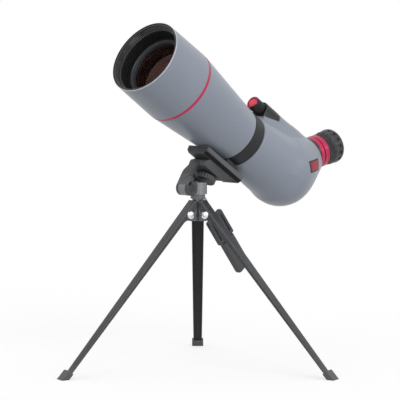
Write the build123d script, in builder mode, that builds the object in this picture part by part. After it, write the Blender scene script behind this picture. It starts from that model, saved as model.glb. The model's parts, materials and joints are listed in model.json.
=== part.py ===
from build123d import *

import os
from math import acos, atan2, cos, hypot, radians, sin

# Angled spotting scope on a folding table-top tripod, in millimetres and degrees.
# +Z is up, +Y runs from the objective back to the eyepiece, +X is the scope's left side.
# Stations run backwards along an axis, and heights are measured square to it.

# Where the upright pan axis stands; the origin is on the floor, in the middle of the part's box
PAN_X = -21.19
PAN_Y = -29.16

# Fits
SEAT = 0.05  # radial gap of a screwed or glued seat
RUN = 0.06  # radial gap of a turning or sliding fit
CLEAR = 0.3  # gap between pieces that move past each other

# Tripod legs, measured along the line from pivot to floor and square to it
LEG_COUNT = 3
FIRST_LEG_AZIMUTH = 14.3
FOOT_CIRCLE_R = 163.4
PIVOT_R = 12.0
PIVOT_Z = 167.0
LEG_SHEET = 1.2
LEG_OVERRUN = 14.0
LEG_SHORT = 6.0
LEG_WIDTH_TOP = 13.4
LEG_WIDTH_END = 9.6
LEG_WEB_TOP = 6.7
LEG_WEB_END = 0.2
LEG_DEPTH_END = 2.5
EAR_DROP = 3.3
EAR_FLAT = 3.5
EAR_LENGTH = 10.0
FLANGE_RISE = 0.7
FOOT_SIDE = 1.6
FOOT_INNER = 0.9
FOOT_OUTER = 3.0
FOOT_LENGTH = 10.8
PIVOT_SCREW_R = 2.2
PIVOT_HEAD_R = 4.5
PIVOT_HEAD_H = 2.4

# Hub and pan joint
HUB_CORE_R = 6.0
HUB_DROP = 7.0
HUB_RISE = 20.6
HUB_CAP_R = 8.0
HUB_CAP_H = 4.0
PAN_WASHER_R = 7.4
PAN_WASHER_H = 0.8
PAN_GAP = 0.1
PAN_BASE_R = 9.9
PAN_BASE_H = 12.9
PAN_SCREW_R = 2.5
PAN_SCREW_HEAD_R = 4.8
PAN_SCREW_HEAD_H = 3.5
PAN_SCREW_DEPTH = 14.0

# Tilt joint and bracket, in the tilting plane whose origin is the tilt axis
TILT_ANGLE = 33.0
TILT_FORWARD = 17.5
TILT_RISE = 7.5
KNUCKLE_R = 8.0
KNUCKLE_HALF = 5.0
EAR_T = 3.0
TILT_BOLT_R = 2.5
TILT_HEAD_R = 4.0
TILT_HEAD_H = 2.0
TILT_NUT_FLATS = 8.0
TILT_NUT_H = 3.2
WEB_T = 5.0
WEB_BEND = 17.0
PLATFORM_FRONT = -0.5
PLATFORM_LENGTH = 34.0
PLATFORM_HALF = 12.0
PLATFORM_RISE = 28.3
PLATFORM_T = 10.4
PLATFORM_NOSE = 4.4
PLATFORM_NOSE_RUN = 5.0
PLATFORM_TAIL_RUN = 19.0

# Plate, its pad and its screws
PLATE_FRONT = -7.8
PLATE_LENGTH = 64.5
PLATE_HALF = 15.0
PLATE_T = 8.8
PLATE_BEVEL = 3.6
PLATE_GROOVE = 1.0
PAD_T = 0.8
PAD_INSET = 1.5
CLAMP_BACK = 20.5
CLAMP_STUD_R = 3.1
CLAMP_DEPTH = 5.5
CLAMP_KNOB_R = 11.0
CLAMP_KNOB_T = 6.5
CLAMP_STEM_R = 4.5
CLAMP_STEM_T = 1.5
CLAMP_FLUTES = 16
CLAMP_FLUTE_R = 1.3
FOOT_SCREW_R = 3.1
FOOT_SCREW_HEAD_R = 5.0
FOOT_SCREW_HEAD_H = 3.0
FOOT_SCREW_DEPTH = 5.0

# Pan handle, along its own axis from the socket
HANDLE_X = -20.0
HANDLE_ROOT_S = 22.0
HANDLE_ROOT_H = 20.8
HANDLE_DROP = 18.7
HANDLE_ROD_R = 3.0
SOCKET_BOSS_R = 6.5
SOCKET_DEPTH = 8.0
SOCKET_BRIDGE_INSET = 2.0
BLADE_START = 52.2
BLADE_LENGTH = 33.6
BLADE_WIDTH = 25.4
BLADE_T = 5.0
BLADE_CORNER_R = 2.0
BLADE_SLOT_W = 2.0
BLADE_SLOT_INSET = 4.5
BLADE_SLOT_MARGIN = 5.0
GRIP_LENGTH = 44.0
GRIP_WIDTH = 20.0
GRIP_T = 9.0
GRIP_ROUND = 3.0
ROD_GRIP_DEPTH = 12.0

# Scope tube
RIM_R = 42.0
HOOD_FLARE = 0.9
HOOD_WALL = 1.8
TUBE_END_R = 32.3
HOOD_LENGTH = 57.0
TRIM_WIDTH = 2.0
TRIM_RECESS = 0.45
TUBE_LENGTH = 100.0
TUBE_WALL = 2.0
TUBE_BULKHEAD = 3.5
SPIGOT_LENGTH = 14.0
THREAD_INSET = 0.8
THREAD_TURNS = 5
THREAD_PITCH = 1.2
THREAD_DEPTH = 0.6
THREAD_RING_T = 1.2
CELL_MOUTH_INSET = 2.9
CELL_STEP = 13.0
CELL_WALL = 2.0
OBJECTIVE_INSET = 5.7
OBJECTIVE_FRONT_T = 4.0
OBJECTIVE_FRONT_SAG = 2.4
OBJECTIVE_REAR_T = 4.6
OBJECTIVE_REAR_SAG = 1.3
OBJECTIVE_AIR = 0.3
RETAINER_T = 4.0
RETAINER_LIP = 1.6
CELL_LIP = 3.0
BAFFLE_BACK = 46.0
BAFFLE_T = 1.2
BAFFLE_BORE_R = 25.0

# Collar and the sleeve that it turns on
SLEEVE_R = 28.9
SLEEVE_WALL = 2.4
SLEEVE_FLANGE_R = 30.2
SLEEVE_FLANGE_T = 3.0
SLEEVE_AHEAD = 5.0
SLEEVE_BEHIND = 33.0
COLLAR_R = 32.1
COLLAR_WIDTH = 15.2
COLLAR_SIDE_GAP = 0.4
COLLAR_BACK = 37.5
COLLAR_FOOT_HALF = 10.0
COLLAR_TOE = 8.0
COLLAR_TOE_T = 1.8
LOCK_STUD_R = 2.5
LOCK_BOSS_R = 5.0
LOCK_BOSS_H = 3.5
LOCK_KNOB_R = 7.0
LOCK_KNOB_T = 9.0
LOCK_FLUTES = 12
LOCK_FLUTE_R = 1.2

# Prism housing
HOUSING_R = 33.0
HOUSING_WALL = 2.5
BULB_BACK = 73.5
BULB_H = 4.4
BULB_R = 38.9
BULB_NECK_R = 38.0
RIDGE_H = 45.6
RIDGE_R = 9.6
RIDGE_BACK = 9.5
RIDGE_LENGTH = 76.0
RIDGE_WALL = 3.2
TUNNEL_LENGTH = 26.0
SHAFT_END_BORE = 4.0
SLOT_W = 8.0
SOCKET_R = 20.6
BADGE_LENGTH = 23.0
BADGE_WIDTH = 12.4
BADGE_T = 1.2
BADGE_PROUD = 0.3
BADGE_STATION = 21.7
BADGE_TURN = -89.2
BADGE_SLANT = -13.0

# Focus drive
FOCUS_KNOB_R = 7.6
FOCUS_KNOB_LENGTH = 12.4
FOCUS_CAP_H = 3.2
FOCUS_CAP_DOME = 2.0
FOCUS_COVER_T = 1.3
FOCUS_COVER_FRONT = 1.5
FOCUS_COVER_LENGTH = 25.0
FOCUS_COVER_LIFT = 3.8
FOCUS_COVER_TAIL = 0.6
FOCUS_KNOB_GAP = 0.4
LEAD_R = 2.5
CARRIAGE_BACK = 22.0
CARRIAGE_LENGTH = 10.0
CARRIAGE_TRAVEL = 5.0
CARRIAGE_BORE_R = 19.0
CARRIAGE_ARM_W = 6.0
CARRIAGE_ARM_L = 6.0
NUT_R = 5.0
NUT_LENGTH = 8.0
FOCUS_LENS_T = 4.0
FOCUS_LENS_SAG = 1.2

# Prism and its holder
HOLDER_BACK = 38.0
HOLDER_T = 2.5
HOLDER_GAP = 0.4
HOLDER_BORE_R = 15.0
CHEEK_T = 1.5
CHEEK_REACH = 40.0
CHEEK_LOW = 9.0
CHEEK_HIGH = 11.0
PRISM_HALF = 12.0
PRISM_SPACE = 3.5
PRISM_FACE_HALF = 11.0
PRISM_ENTRY_HALF = 13.5
PRISM_EXIT_OFFSET = 32.0

# Eyepiece, stations along its own axis from the housing's socket face
EYEPIECE_ANGLE = 45.0
EYEPIECE_FOLD_BACK = 60.4
EYEPIECE_OFFSET = 65.0
BARREL_R = 15.0
BARREL_WALL = 2.0
BARREL_SPIGOT_R = 16.0
BARREL_SPIGOT_LENGTH = 8.0
BASE_FLANGE_R = 18.9
BASE_FLANGE_T = 2.6
RED_RING_R = 18.6
RED_RING_T = 3.0
RED_GROOVE_T = 1.4
RED_GROOVE_DEPTH = 1.0
RED_RING_REAR_T = 4.0
RING_GAP = 0.2
ZOOM_RING_R = 18.4
ZOOM_RING_T = 11.6
ZOOM_TRAVEL = 8.0
ZOOM_CELL_START = 5.0
ZOOM_CELL_LENGTH = 8.0
ZOOM_LENS_R = 8.9
ZOOM_LENS_T = 3.4
ZOOM_LENS_SAG = 0.8
ZOOM_PIN_R = 1.2
EYECUP_R = 19.3
EYECUP_LENGTH = 14.3
EYECUP_LIP_R = 13.2
EYECUP_LIP_T = 2.5
EYECUP_RIM = 3.5
EYECUP_RIM_PROUD = 0.3
EYECUP_RIBS = 18
EYECUP_RIB_R = 0.7
BARREL_END_GAP = 0.5
EYE_LENS_T = 3.8
EYE_LENS_SAG = 1.0
EYE_SEAT_T = 2.0
EYE_SEAT_LIP = 1.5
EYE_RING_T = 5.5
EYE_RING_WALL = 1.8

# Radii, heights and stations that follow from the sizes above
SHOULDER_R = RIM_R + HOOD_FLARE
HOOD_BORE_R = RIM_R - HOOD_WALL
CELL_MOUTH_R = HOOD_BORE_R - CELL_MOUTH_INSET
OBJECTIVE_R = CELL_MOUTH_R - OBJECTIVE_INSET
RETAINER_BORE_R = OBJECTIVE_R - RETAINER_LIP
CELL_LIP_R = OBJECTIVE_R - CELL_LIP
FOCUS_COVER_DROP = RIDGE_H - HOUSING_R - FOCUS_COVER_LIFT
HUB_TOP = PIVOT_Z + HUB_RISE
PAN_BASE_Z = HUB_TOP + PAN_WASHER_H + PAN_GAP
TILT_Z = PAN_BASE_Z + TILT_RISE
PLATFORM_TOP = PLATFORM_RISE + PLATFORM_T
PLATE_TOP = PLATFORM_TOP + PLATE_T
FOOT_SOLE = PLATE_TOP + PAD_T
EAR_INNER = KNUCKLE_HALF + CLEAR
EAR_OUTER = EAR_INNER + EAR_T
TRIM_START = HOOD_LENGTH
TUBE_START = TRIM_START + TRIM_WIDTH
TUBE_END = TUBE_START + TUBE_LENGTH
COLLAR_START = TUBE_END + COLLAR_SIDE_GAP
COLLAR_END = COLLAR_START + COLLAR_WIDTH
COLLAR_MID = (COLLAR_START + COLLAR_END) / 2
HOUSING_START = COLLAR_END + COLLAR_SIDE_GAP
RIM_AHEAD = COLLAR_MID - COLLAR_BACK
SLEEVE_BORE_R = SLEEVE_R - SLEEVE_WALL
COVER_START = HOUSING_START + RIDGE_BACK - FOCUS_COVER_FRONT


def tube_r(station):
    """Outer radius of the tapered tube."""
    return SHOULDER_R + (TUBE_END_R - SHOULDER_R) * (station - TUBE_START) / TUBE_LENGTH


# The collar's foot lifts the tube just clear of the pad's front end
COLLAR_FOOT_DROP = tube_r(RIM_AHEAD + PLATE_FRONT + PAD_INSET) + CLEAR
SCOPE_RISE = FOOT_SOLE + COLLAR_FOOT_DROP


def shifted(plane, along, up=0.0, aside=0.0):
    """The plane moved within its own axes."""
    return Plane(origin=plane.from_local_coords((along, up, aside)), x_dir=plane.x_dir, z_dir=plane.z_dir)


def turned_plane(plane, angle):
    """The plane turned about its own normal, from its X axis towards its Y axis."""
    x_dir = plane.x_dir * cos(radians(angle)) + plane.y_dir * sin(radians(angle))
    return Plane(origin=plane.origin, x_dir=x_dir, z_dir=plane.z_dir)


def square_to(plane, along=0.0, up=0.0):
    """A plane square to the given plane's X axis, whose own Y axis is the given plane's Y axis."""
    return Plane(origin=plane.from_local_coords((along, up, 0)), x_dir=-plane.z_dir, z_dir=plane.x_dir)


def axis_of(plane):
    """The plane's X axis, about which its turned pieces are revolved."""
    return Axis(plane.origin, plane.x_dir)


def outline(plane, points):
    """A closed face through points given in the plane's X and Y."""
    with BuildSketch(plane) as face:
        with BuildLine():
            Polyline(*points, close=True)
        make_face()
    return face.sketch


def band(start, end, inner, outer):
    """Profile of a plain ring between two stations."""
    return [(start, inner), (end, inner), (end, outer), (start, outer)]


def lens_outline(plane, front, rear, radius, front_bulge, rear_bulge):
    """Half section of a lens whose faces bulge beyond their edges; a negative bulge is hollow."""
    with BuildSketch(plane) as face:
        with BuildLine():
            TangentArc((front - front_bulge, 0), (front, radius), tangent=(0, 1))
            Line((front, radius), (rear, radius))
            TangentArc((rear + rear_bulge, 0), (rear, radius), tangent=(0, 1))
            Line((rear + rear_bulge, 0), (front - front_bulge, 0))
        make_face()
    return face.sketch


def disc(plane, radius, *spots):
    """Round faces of one radius at spots of the plane, or one at its origin."""
    with BuildSketch(plane) as face:
        with Locations(*(spots or [(0, 0)])):
            Circle(radius)
    return face.sketch


def slab(plane, width, height, centre=(0, 0)):
    """A rectangular face about a point of the plane."""
    with BuildSketch(plane) as face:
        with Locations(centre):
            Rectangle(width, height)
    return face.sketch


def ring_spots(count, radius):
    """Evenly spaced points of a circle, in a plane's own X and Y."""
    steps = [radians(360 * index / count) for index in range(count)]
    return [(radius * cos(step), radius * sin(step)) for step in steps]


# Working planes: the tilting plane at the tilt axis, the scope's at its rim,
# and those of knob, eyepiece and handle
TILT = turned_plane(
    Plane(origin=(PAN_X, PAN_Y - TILT_FORWARD, TILT_Z), x_dir=(0, 1, 0), z_dir=(1, 0, 0)), -TILT_ANGLE
)
SCOPE = shifted(TILT, -RIM_AHEAD, SCOPE_RISE)
FOCUS = shifted(SCOPE, 0, RIDGE_H)
EYE_FOLD = turned_plane(shifted(SCOPE, HOUSING_START + EYEPIECE_FOLD_BACK), EYEPIECE_ANGLE)
EYE = shifted(EYE_FOLD, EYEPIECE_OFFSET)
HANDLE = turned_plane(shifted(TILT, HANDLE_ROOT_S, HANDLE_ROOT_H, HANDLE_X), -HANDLE_DROP)
PAN_TOP = Plane(origin=(PAN_X, PAN_Y, 0))

# Legs: each has a plane at its pivot, with X down the leg and Y outwards
LEG_ANGLE = atan2(FOOT_CIRCLE_R - PIVOT_R, PIVOT_Z)
LEG_REACH = hypot(FOOT_CIRCLE_R - PIVOT_R, PIVOT_Z)
LEG_END = LEG_REACH - LEG_SHORT
LEG_NAMES = ["right", "back", "left"]
LUG_HALF = LEG_WIDTH_TOP / 2 - LEG_SHEET - CLEAR
LUG_R = LEG_WEB_TOP - LEG_SHEET - CLEAR


def hub_plane(index):
    """Upright plane through the pan axis and one leg: X outwards, Y up from the floor."""
    azimuth = radians(FIRST_LEG_AZIMUTH + 360 * index / LEG_COUNT)
    outwards = Vector(cos(azimuth), sin(azimuth), 0)
    return Plane(origin=(PAN_X, PAN_Y, 0), x_dir=outwards, z_dir=outwards.cross(Vector(0, 0, 1)))


def leg_plane(index):
    """Plane of one leg at its pivot: X down along the leg, Y outwards and up."""
    upright = shifted(hub_plane(index), PIVOT_R, PIVOT_Z)
    down = upright.x_dir * sin(LEG_ANGLE) - upright.y_dir * cos(LEG_ANGLE)
    return Plane(origin=upright.origin, x_dir=down, z_dir=upright.z_dir)


def leg_form(index, inset, below):
    """Tapering bar that a leg is pressed to; inset draws in its web and sides, below lowers its open edge."""
    plane = leg_plane(index)
    web_slope = (LEG_WEB_END - LEG_WEB_TOP) / LEG_END
    web_start = LEG_WEB_TOP - web_slope * LEG_OVERRUN - inset
    end_edge = LEG_WEB_END - LEG_DEPTH_END - below
    top_half = LEG_WIDTH_TOP / 2 - inset
    end_half = LEG_WIDTH_END / 2 - inset
    side = [
        (-LEG_OVERRUN, web_start),
        (LEG_END, LEG_WEB_END - inset),
        (LEG_END, end_edge),
        (EAR_LENGTH, FLANGE_RISE - below),
        (EAR_FLAT, -EAR_DROP - below),
        (-EAR_FLAT, -EAR_DROP - below),
        (-LEG_OVERRUN, LEG_WEB_TOP / 2 - below),
    ]
    plan = [
        (-LEG_OVERRUN, -top_half),
        (EAR_LENGTH, -top_half),
        (LEG_END, -end_half),
        (LEG_END, end_half),
        (EAR_LENGTH, top_half),
        (-LEG_OVERRUN, top_half),
    ]
    plan_plane = Plane(origin=plane.origin, x_dir=plane.x_dir, z_dir=plane.y_dir)
    with BuildPart() as form:
        extrude(outline(plane, side), amount=LEG_WIDTH_TOP, both=True)
        extrude(outline(plan_plane, plan), amount=LEG_WIDTH_TOP * 2, both=True, mode=Mode.INTERSECT)
    return form.part


def make_leg(index):
    """Pressed channel, open inwards, with two ears that the pivot screw passes through."""
    with BuildPart() as leg:
        add(leg_form(index, 0, 0))
        add(leg_form(index, LEG_SHEET, LEG_SHEET), mode=Mode.SUBTRACT)
        pivot_hole = disc(leg_plane(index), PIVOT_SCREW_R + RUN)
        extrude(pivot_hole, amount=LEG_WIDTH_TOP, both=True, mode=Mode.SUBTRACT)
    return leg


def make_foot(index):
    """Rubber cap on the end of a leg, cut level with the floor."""
    plane = leg_plane(index)
    low = LEG_WEB_END - LEG_DEPTH_END - FOOT_INNER
    high = LEG_WEB_END + FOOT_OUTER
    start = LEG_REACH - FOOT_LENGTH
    with BuildPart() as foot:
        extrude(
            outline(plane, [(start, low), (start, high), (2 * LEG_REACH, high), (2 * LEG_REACH, low)]),
            amount=LEG_WIDTH_END / 2 + FOOT_SIDE,
            both=True,
        )
        split(bisect_by=Plane.XY, keep=Keep.TOP)
        add(leg_form(index, -SEAT, SEAT), mode=Mode.SUBTRACT)
    return foot


def pivot_screw(index):
    """Screw through one hub lug and its leg, with a domed head on each side."""
    plane = leg_plane(index)
    head_seat = LEG_WIDTH_TOP / 2 + RUN
    across = Plane(origin=plane.origin, x_dir=plane.z_dir, z_dir=plane.x_dir)
    with BuildPart() as screw:
        extrude(disc(plane, PIVOT_SCREW_R), amount=head_seat, both=True)
        for side in (1, -1):
            with BuildSketch(across) as head:
                with BuildLine():
                    TangentArc(
                        (side * (head_seat + PIVOT_HEAD_H), 0), (side * head_seat, PIVOT_HEAD_R), tangent=(0, 1)
                    )
                    Polyline((side * head_seat, PIVOT_HEAD_R), (side * head_seat, 0))
                    Line((side * head_seat, 0), (side * (head_seat + PIVOT_HEAD_H), 0))
                make_face()
            revolve(head.sketch, axis=axis_of(across))
    return screw.part


legs = [make_leg(index) for index in range(LEG_COUNT)]
feet = [make_foot(index) for index in range(LEG_COUNT)]

with BuildPart() as pivot_screws:
    for index in range(LEG_COUNT):
        add(pivot_screw(index))

# Hub: a core with a cap, and a lug for each leg whose slanting top is the leg's spread stop
with BuildPart() as hub:
    extrude(disc(PAN_TOP.offset(PIVOT_Z - HUB_DROP), HUB_CORE_R), amount=HUB_DROP + HUB_RISE)
    extrude(disc(PAN_TOP.offset(HUB_TOP - HUB_CAP_H), HUB_CAP_R), amount=HUB_CAP_H)
    for index in range(LEG_COUNT):
        upright = hub_plane(index)
        leg = leg_plane(index)
        stop_low = upright.to_local_coords(leg.from_local_coords((0, LUG_R, 0)))
        stop_high = upright.to_local_coords(leg.from_local_coords((-LEG_OVERRUN, LUG_R, 0)))
        lug = [
            (0, PIVOT_Z - HUB_DROP),
            (PIVOT_R, PIVOT_Z - HUB_DROP),
            (PIVOT_R, PIVOT_Z),
            (stop_low.X, stop_low.Y),
            (stop_high.X, stop_high.Y),
            (0, stop_high.Y),
        ]
        extrude(outline(upright, lug), amount=LUG_HALF, both=True)
        extrude(disc(leg, LUG_R), amount=LUG_HALF, both=True)
    for index in range(LEG_COUNT):
        screw_hole = disc(leg_plane(index), PIVOT_SCREW_R + SEAT)
        extrude(screw_hole, amount=LEG_WIDTH_TOP, both=True, mode=Mode.SUBTRACT)
    extrude(disc(PAN_TOP.offset(HUB_TOP), PAN_SCREW_R + SEAT), amount=-PAN_SCREW_DEPTH, mode=Mode.SUBTRACT)

with BuildPart() as pan_washer:
    extrude(disc(PAN_TOP.offset(HUB_TOP), PAN_WASHER_R), amount=PAN_WASHER_H)
    extrude(disc(PAN_TOP.offset(HUB_TOP), PAN_SCREW_R + SEAT), amount=PAN_WASHER_H, mode=Mode.SUBTRACT)

# Pan base: the pan cylinder with a lug forwards to the tilt knuckle
LUG_TOP = PAN_BASE_Z + PAN_BASE_H
with BuildPart() as pan_base:
    extrude(disc(PAN_TOP.offset(PAN_BASE_Z), PAN_BASE_R), amount=PAN_BASE_H)
    extrude(disc(TILT, KNUCKLE_R), amount=KNUCKLE_HALF, both=True)
    with BuildSketch(PAN_TOP.offset(PAN_BASE_Z)):
        with Locations((0, -TILT_FORWARD / 2)):
            Rectangle(2 * KNUCKLE_HALF, TILT_FORWARD)
    extrude(amount=PAN_BASE_H)
    extrude(disc(TILT, TILT_BOLT_R + RUN), amount=KNUCKLE_HALF, both=True, mode=Mode.SUBTRACT)
    extrude(disc(PAN_TOP.offset(PAN_BASE_Z), PAN_SCREW_R + RUN), amount=PAN_BASE_H, mode=Mode.SUBTRACT)
    extrude(
        disc(PAN_TOP.offset(LUG_TOP), PAN_SCREW_HEAD_R + CLEAR), amount=-PAN_SCREW_HEAD_H, mode=Mode.SUBTRACT
    )

with BuildPart() as pan_screw:
    extrude(
        disc(PAN_TOP.offset(HUB_TOP - PAN_SCREW_DEPTH + CLEAR), PAN_SCREW_R),
        amount=LUG_TOP - HUB_TOP + PAN_SCREW_DEPTH - 2 * CLEAR,
    )
    extrude(
        disc(PAN_TOP.offset(LUG_TOP - PAN_SCREW_HEAD_H + RUN), PAN_SCREW_HEAD_R),
        amount=PAN_SCREW_HEAD_H - CLEAR - RUN,
    )

# Tilt bracket: platform, front web, two ears at the knuckle, and the handle's socket on the far side
platform_side = [
    (PLATFORM_FRONT + PLATFORM_NOSE_RUN, PLATFORM_TOP),
    (PLATFORM_FRONT, PLATFORM_TOP - PLATFORM_NOSE),
    (PLATFORM_FRONT, PLATFORM_RISE),
    (PLATFORM_FRONT + PLATFORM_LENGTH, PLATFORM_RISE),
    (PLATFORM_FRONT + PLATFORM_LENGTH + PLATFORM_TAIL_RUN, PLATFORM_TOP),
]
web_side = [
    (-KNUCKLE_R, 0),
    (-KNUCKLE_R, WEB_BEND),
    (PLATFORM_FRONT, PLATFORM_RISE + WEB_T),
    (PLATFORM_FRONT + 2 * WEB_T, PLATFORM_RISE + WEB_T),
    (-KNUCKLE_R + WEB_T, WEB_BEND - WEB_T / 2),
    (-KNUCKLE_R + WEB_T, 0),
]
with BuildPart() as tilt_bracket:
    extrude(outline(TILT, platform_side), amount=PLATFORM_HALF, both=True)
    extrude(outline(TILT, web_side), amount=EAR_OUTER, both=True)
    extrude(disc(TILT, KNUCKLE_R), amount=EAR_OUTER, both=True)
    extrude(disc(TILT, KNUCKLE_R + CLEAR), amount=EAR_INNER, both=True, mode=Mode.SUBTRACT)
    extrude(disc(square_to(HANDLE, -SOCKET_DEPTH), SOCKET_BOSS_R), amount=2 * SOCKET_DEPTH)
    bridge_low = HANDLE_ROOT_H - SOCKET_BOSS_R
    bridge_height = PLATFORM_TOP - SOCKET_BRIDGE_INSET - bridge_low
    bridge_mid = (HANDLE_ROOT_S, bridge_low + bridge_height / 2)
    socket_bridge = slab(TILT.offset(-PLATFORM_HALF), 2 * SOCKET_BOSS_R, bridge_height, bridge_mid)
    extrude(socket_bridge, amount=PLATFORM_HALF + HANDLE_X)
    extrude(disc(TILT, TILT_BOLT_R + SEAT), amount=EAR_OUTER, both=True, mode=Mode.SUBTRACT)
    extrude(
        disc(TILT.offset(EAR_OUTER), TILT_HEAD_R + SEAT), amount=-TILT_HEAD_H, mode=Mode.SUBTRACT
    )
    extrude(
        disc(square_to(HANDLE, SOCKET_DEPTH), HANDLE_ROD_R + RUN),
        amount=-2 * SOCKET_DEPTH + WEB_T / 2,
        mode=Mode.SUBTRACT,
    )
    stud_hole = square_to(turned_plane(shifted(TILT, CLAMP_BACK, PLATFORM_RISE), 90))
    extrude(disc(stud_hole, CLAMP_STUD_R + RUN), amount=PLATFORM_T, mode=Mode.SUBTRACT)

with BuildPart() as tilt_bolt:
    extrude(disc(TILT, TILT_BOLT_R), amount=EAR_OUTER - TILT_HEAD_H)
    extrude(disc(TILT, TILT_BOLT_R), amount=-(EAR_OUTER + RUN + TILT_NUT_H))
    extrude(disc(TILT.offset(EAR_OUTER - TILT_HEAD_H), TILT_HEAD_R), amount=TILT_HEAD_H)

with BuildPart() as tilt_nut:
    with BuildSketch(TILT.offset(-EAR_OUTER - RUN)):
        RegularPolygon(TILT_NUT_FLATS / 2, 6, major_radius=False)
        Circle(TILT_BOLT_R + SEAT, mode=Mode.SUBTRACT)
    extrude(amount=-TILT_NUT_H)

# Plate with bevelled lower sides and grooved ends, its pad, and the screws above and below it
PLATE = square_to(TILT, PLATE_FRONT, PLATFORM_TOP)
plate_section = [
    (-PLATE_HALF + PLATE_BEVEL, 0),
    (-PLATE_HALF, PLATE_BEVEL),
    (-PLATE_HALF, PLATE_T),
    (PLATE_HALF, PLATE_T),
    (PLATE_HALF, PLATE_BEVEL),
    (PLATE_HALF - PLATE_BEVEL, 0),
]
FOOT_SCREW_AXIS = turned_plane(shifted(TILT, COLLAR_BACK, PLATFORM_TOP), 90)
CLAMP_AXIS = turned_plane(shifted(TILT, CLAMP_BACK, PLATFORM_TOP), 90)
with BuildPart() as plate:
    extrude(outline(PLATE, plate_section), amount=PLATE_LENGTH)
    groove_low = PLATE_BEVEL + PLATE_GROOVE
    for end in (0, PLATE_LENGTH):
        groove = shifted(PLATE, 0, groove_low + PLATE_GROOVE, end)
        for row in range(2):
            groove_face = slab(groove, 2 * PLATE_HALF, PLATE_GROOVE, (0, 2 * PLATE_GROOVE * row))
            extrude(groove_face, amount=PLATE_GROOVE / 2, both=True, mode=Mode.SUBTRACT)
    extrude(disc(square_to(CLAMP_AXIS), CLAMP_STUD_R + SEAT), amount=CLAMP_DEPTH, mode=Mode.SUBTRACT)
    extrude(disc(square_to(FOOT_SCREW_AXIS), FOOT_SCREW_R + SEAT), amount=PLATE_T, mode=Mode.SUBTRACT)
    extrude(
        disc(square_to(FOOT_SCREW_AXIS), FOOT_SCREW_HEAD_R + CLEAR),
        amount=FOOT_SCREW_HEAD_H + CLEAR,
        mode=Mode.SUBTRACT,
    )

with BuildPart() as plate_pad:
    pad_plane = shifted(PLATE, 0, PLATE_T + PAD_T / 2, PAD_INSET)
    extrude(slab(pad_plane, 2 * (PLATE_HALF - PAD_INSET), PAD_T), amount=PLATE_LENGTH - 2 * PAD_INSET)
    extrude(disc(square_to(FOOT_SCREW_AXIS), FOOT_SCREW_R + SEAT), amount=2 * PLATE_T, mode=Mode.SUBTRACT)

with BuildPart() as foot_screw:
    extrude(disc(square_to(FOOT_SCREW_AXIS, CLEAR), FOOT_SCREW_HEAD_R), amount=FOOT_SCREW_HEAD_H)
    extrude(
        disc(square_to(FOOT_SCREW_AXIS, CLEAR), FOOT_SCREW_R),
        amount=PLATE_T + PAD_T + FOOT_SCREW_DEPTH - 2 * CLEAR,
    )

CLAMP_STEM = turned_plane(shifted(TILT, CLAMP_BACK, PLATFORM_RISE - RUN), -90)
with BuildPart() as clamp_knob:
    extrude(disc(square_to(CLAMP_STEM), CLAMP_STEM_R), amount=CLAMP_STEM_T)
    extrude(disc(square_to(CLAMP_STEM, CLAMP_STEM_T), CLAMP_KNOB_R), amount=CLAMP_KNOB_T)
    flutes = disc(square_to(CLAMP_STEM, CLAMP_STEM_T), CLAMP_FLUTE_R, *ring_spots(CLAMP_FLUTES, CLAMP_KNOB_R))
    extrude(flutes, amount=CLAMP_KNOB_T, mode=Mode.SUBTRACT)
    extrude(
        disc(square_to(CLAMP_STEM), CLAMP_STUD_R + SEAT),
        amount=CLAMP_STEM_T + CLAMP_KNOB_T / 2,
        mode=Mode.SUBTRACT,
    )

with BuildPart() as clamp_stud:
    extrude(
        disc(square_to(CLAMP_STEM, CLAMP_STEM_T + CLAMP_KNOB_T / 2), CLAMP_STUD_R),
        amount=-(CLAMP_STEM_T + CLAMP_KNOB_T / 2 + PLATFORM_T + CLAMP_DEPTH - CLEAR),
    )

# Pan handle: rod, slotted blade and rounded grip
BLADE_END = BLADE_START + BLADE_LENGTH
with BuildPart() as handle_rod:
    extrude(
        disc(square_to(HANDLE, -SOCKET_DEPTH + WEB_T / 2 + CLEAR), HANDLE_ROD_R),
        amount=SOCKET_DEPTH - WEB_T / 2 - CLEAR + BLADE_END + ROD_GRIP_DEPTH,
    )

blade_mid = BLADE_START + BLADE_LENGTH / 2
slot_offset = BLADE_WIDTH / 2 - BLADE_SLOT_INSET
with BuildPart() as handle_blade:
    with BuildSketch(HANDLE):
        with Locations((blade_mid, 0)):
            RectangleRounded(BLADE_LENGTH, BLADE_WIDTH, BLADE_CORNER_R)
        with Locations((blade_mid, slot_offset), (blade_mid, -slot_offset)):
            SlotOverall(BLADE_LENGTH - 2 * BLADE_SLOT_MARGIN, BLADE_SLOT_W, mode=Mode.SUBTRACT)
    extrude(amount=BLADE_T / 2, both=True)
    extrude(
        disc(square_to(HANDLE, BLADE_START), HANDLE_ROD_R + 2 * LEG_SHEET), amount=BLADE_LENGTH
    )
    extrude(disc(square_to(HANDLE, BLADE_START), HANDLE_ROD_R + SEAT), amount=BLADE_LENGTH, mode=Mode.SUBTRACT)

with BuildPart() as handle_grip:
    with BuildSketch(square_to(HANDLE, BLADE_END)):
        RectangleRounded(GRIP_T, GRIP_WIDTH, GRIP_ROUND)
    extrude(amount=GRIP_LENGTH)
    fillet(handle_grip.faces().sort_by(axis_of(HANDLE))[-1].edges(), GRIP_ROUND)
    grip_bore = disc(square_to(HANDLE, BLADE_END), HANDLE_ROD_R + SEAT)
    extrude(grip_bore, amount=ROD_GRIP_DEPTH + CLEAR, mode=Mode.SUBTRACT)

# Hood, trim ring and tapered tube
with BuildPart() as objective_hood:
    hood_profile = [(0, HOOD_BORE_R), (0, RIM_R), (HOOD_LENGTH, SHOULDER_R), (HOOD_LENGTH, HOOD_BORE_R)]
    revolve(outline(SCOPE, hood_profile), axis=axis_of(SCOPE))

with BuildPart() as trim_ring:
    trim_profile = band(TRIM_START, TUBE_START, HOOD_BORE_R, SHOULDER_R - TRIM_RECESS)
    revolve(outline(SCOPE, trim_profile), axis=axis_of(SCOPE))

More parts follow.
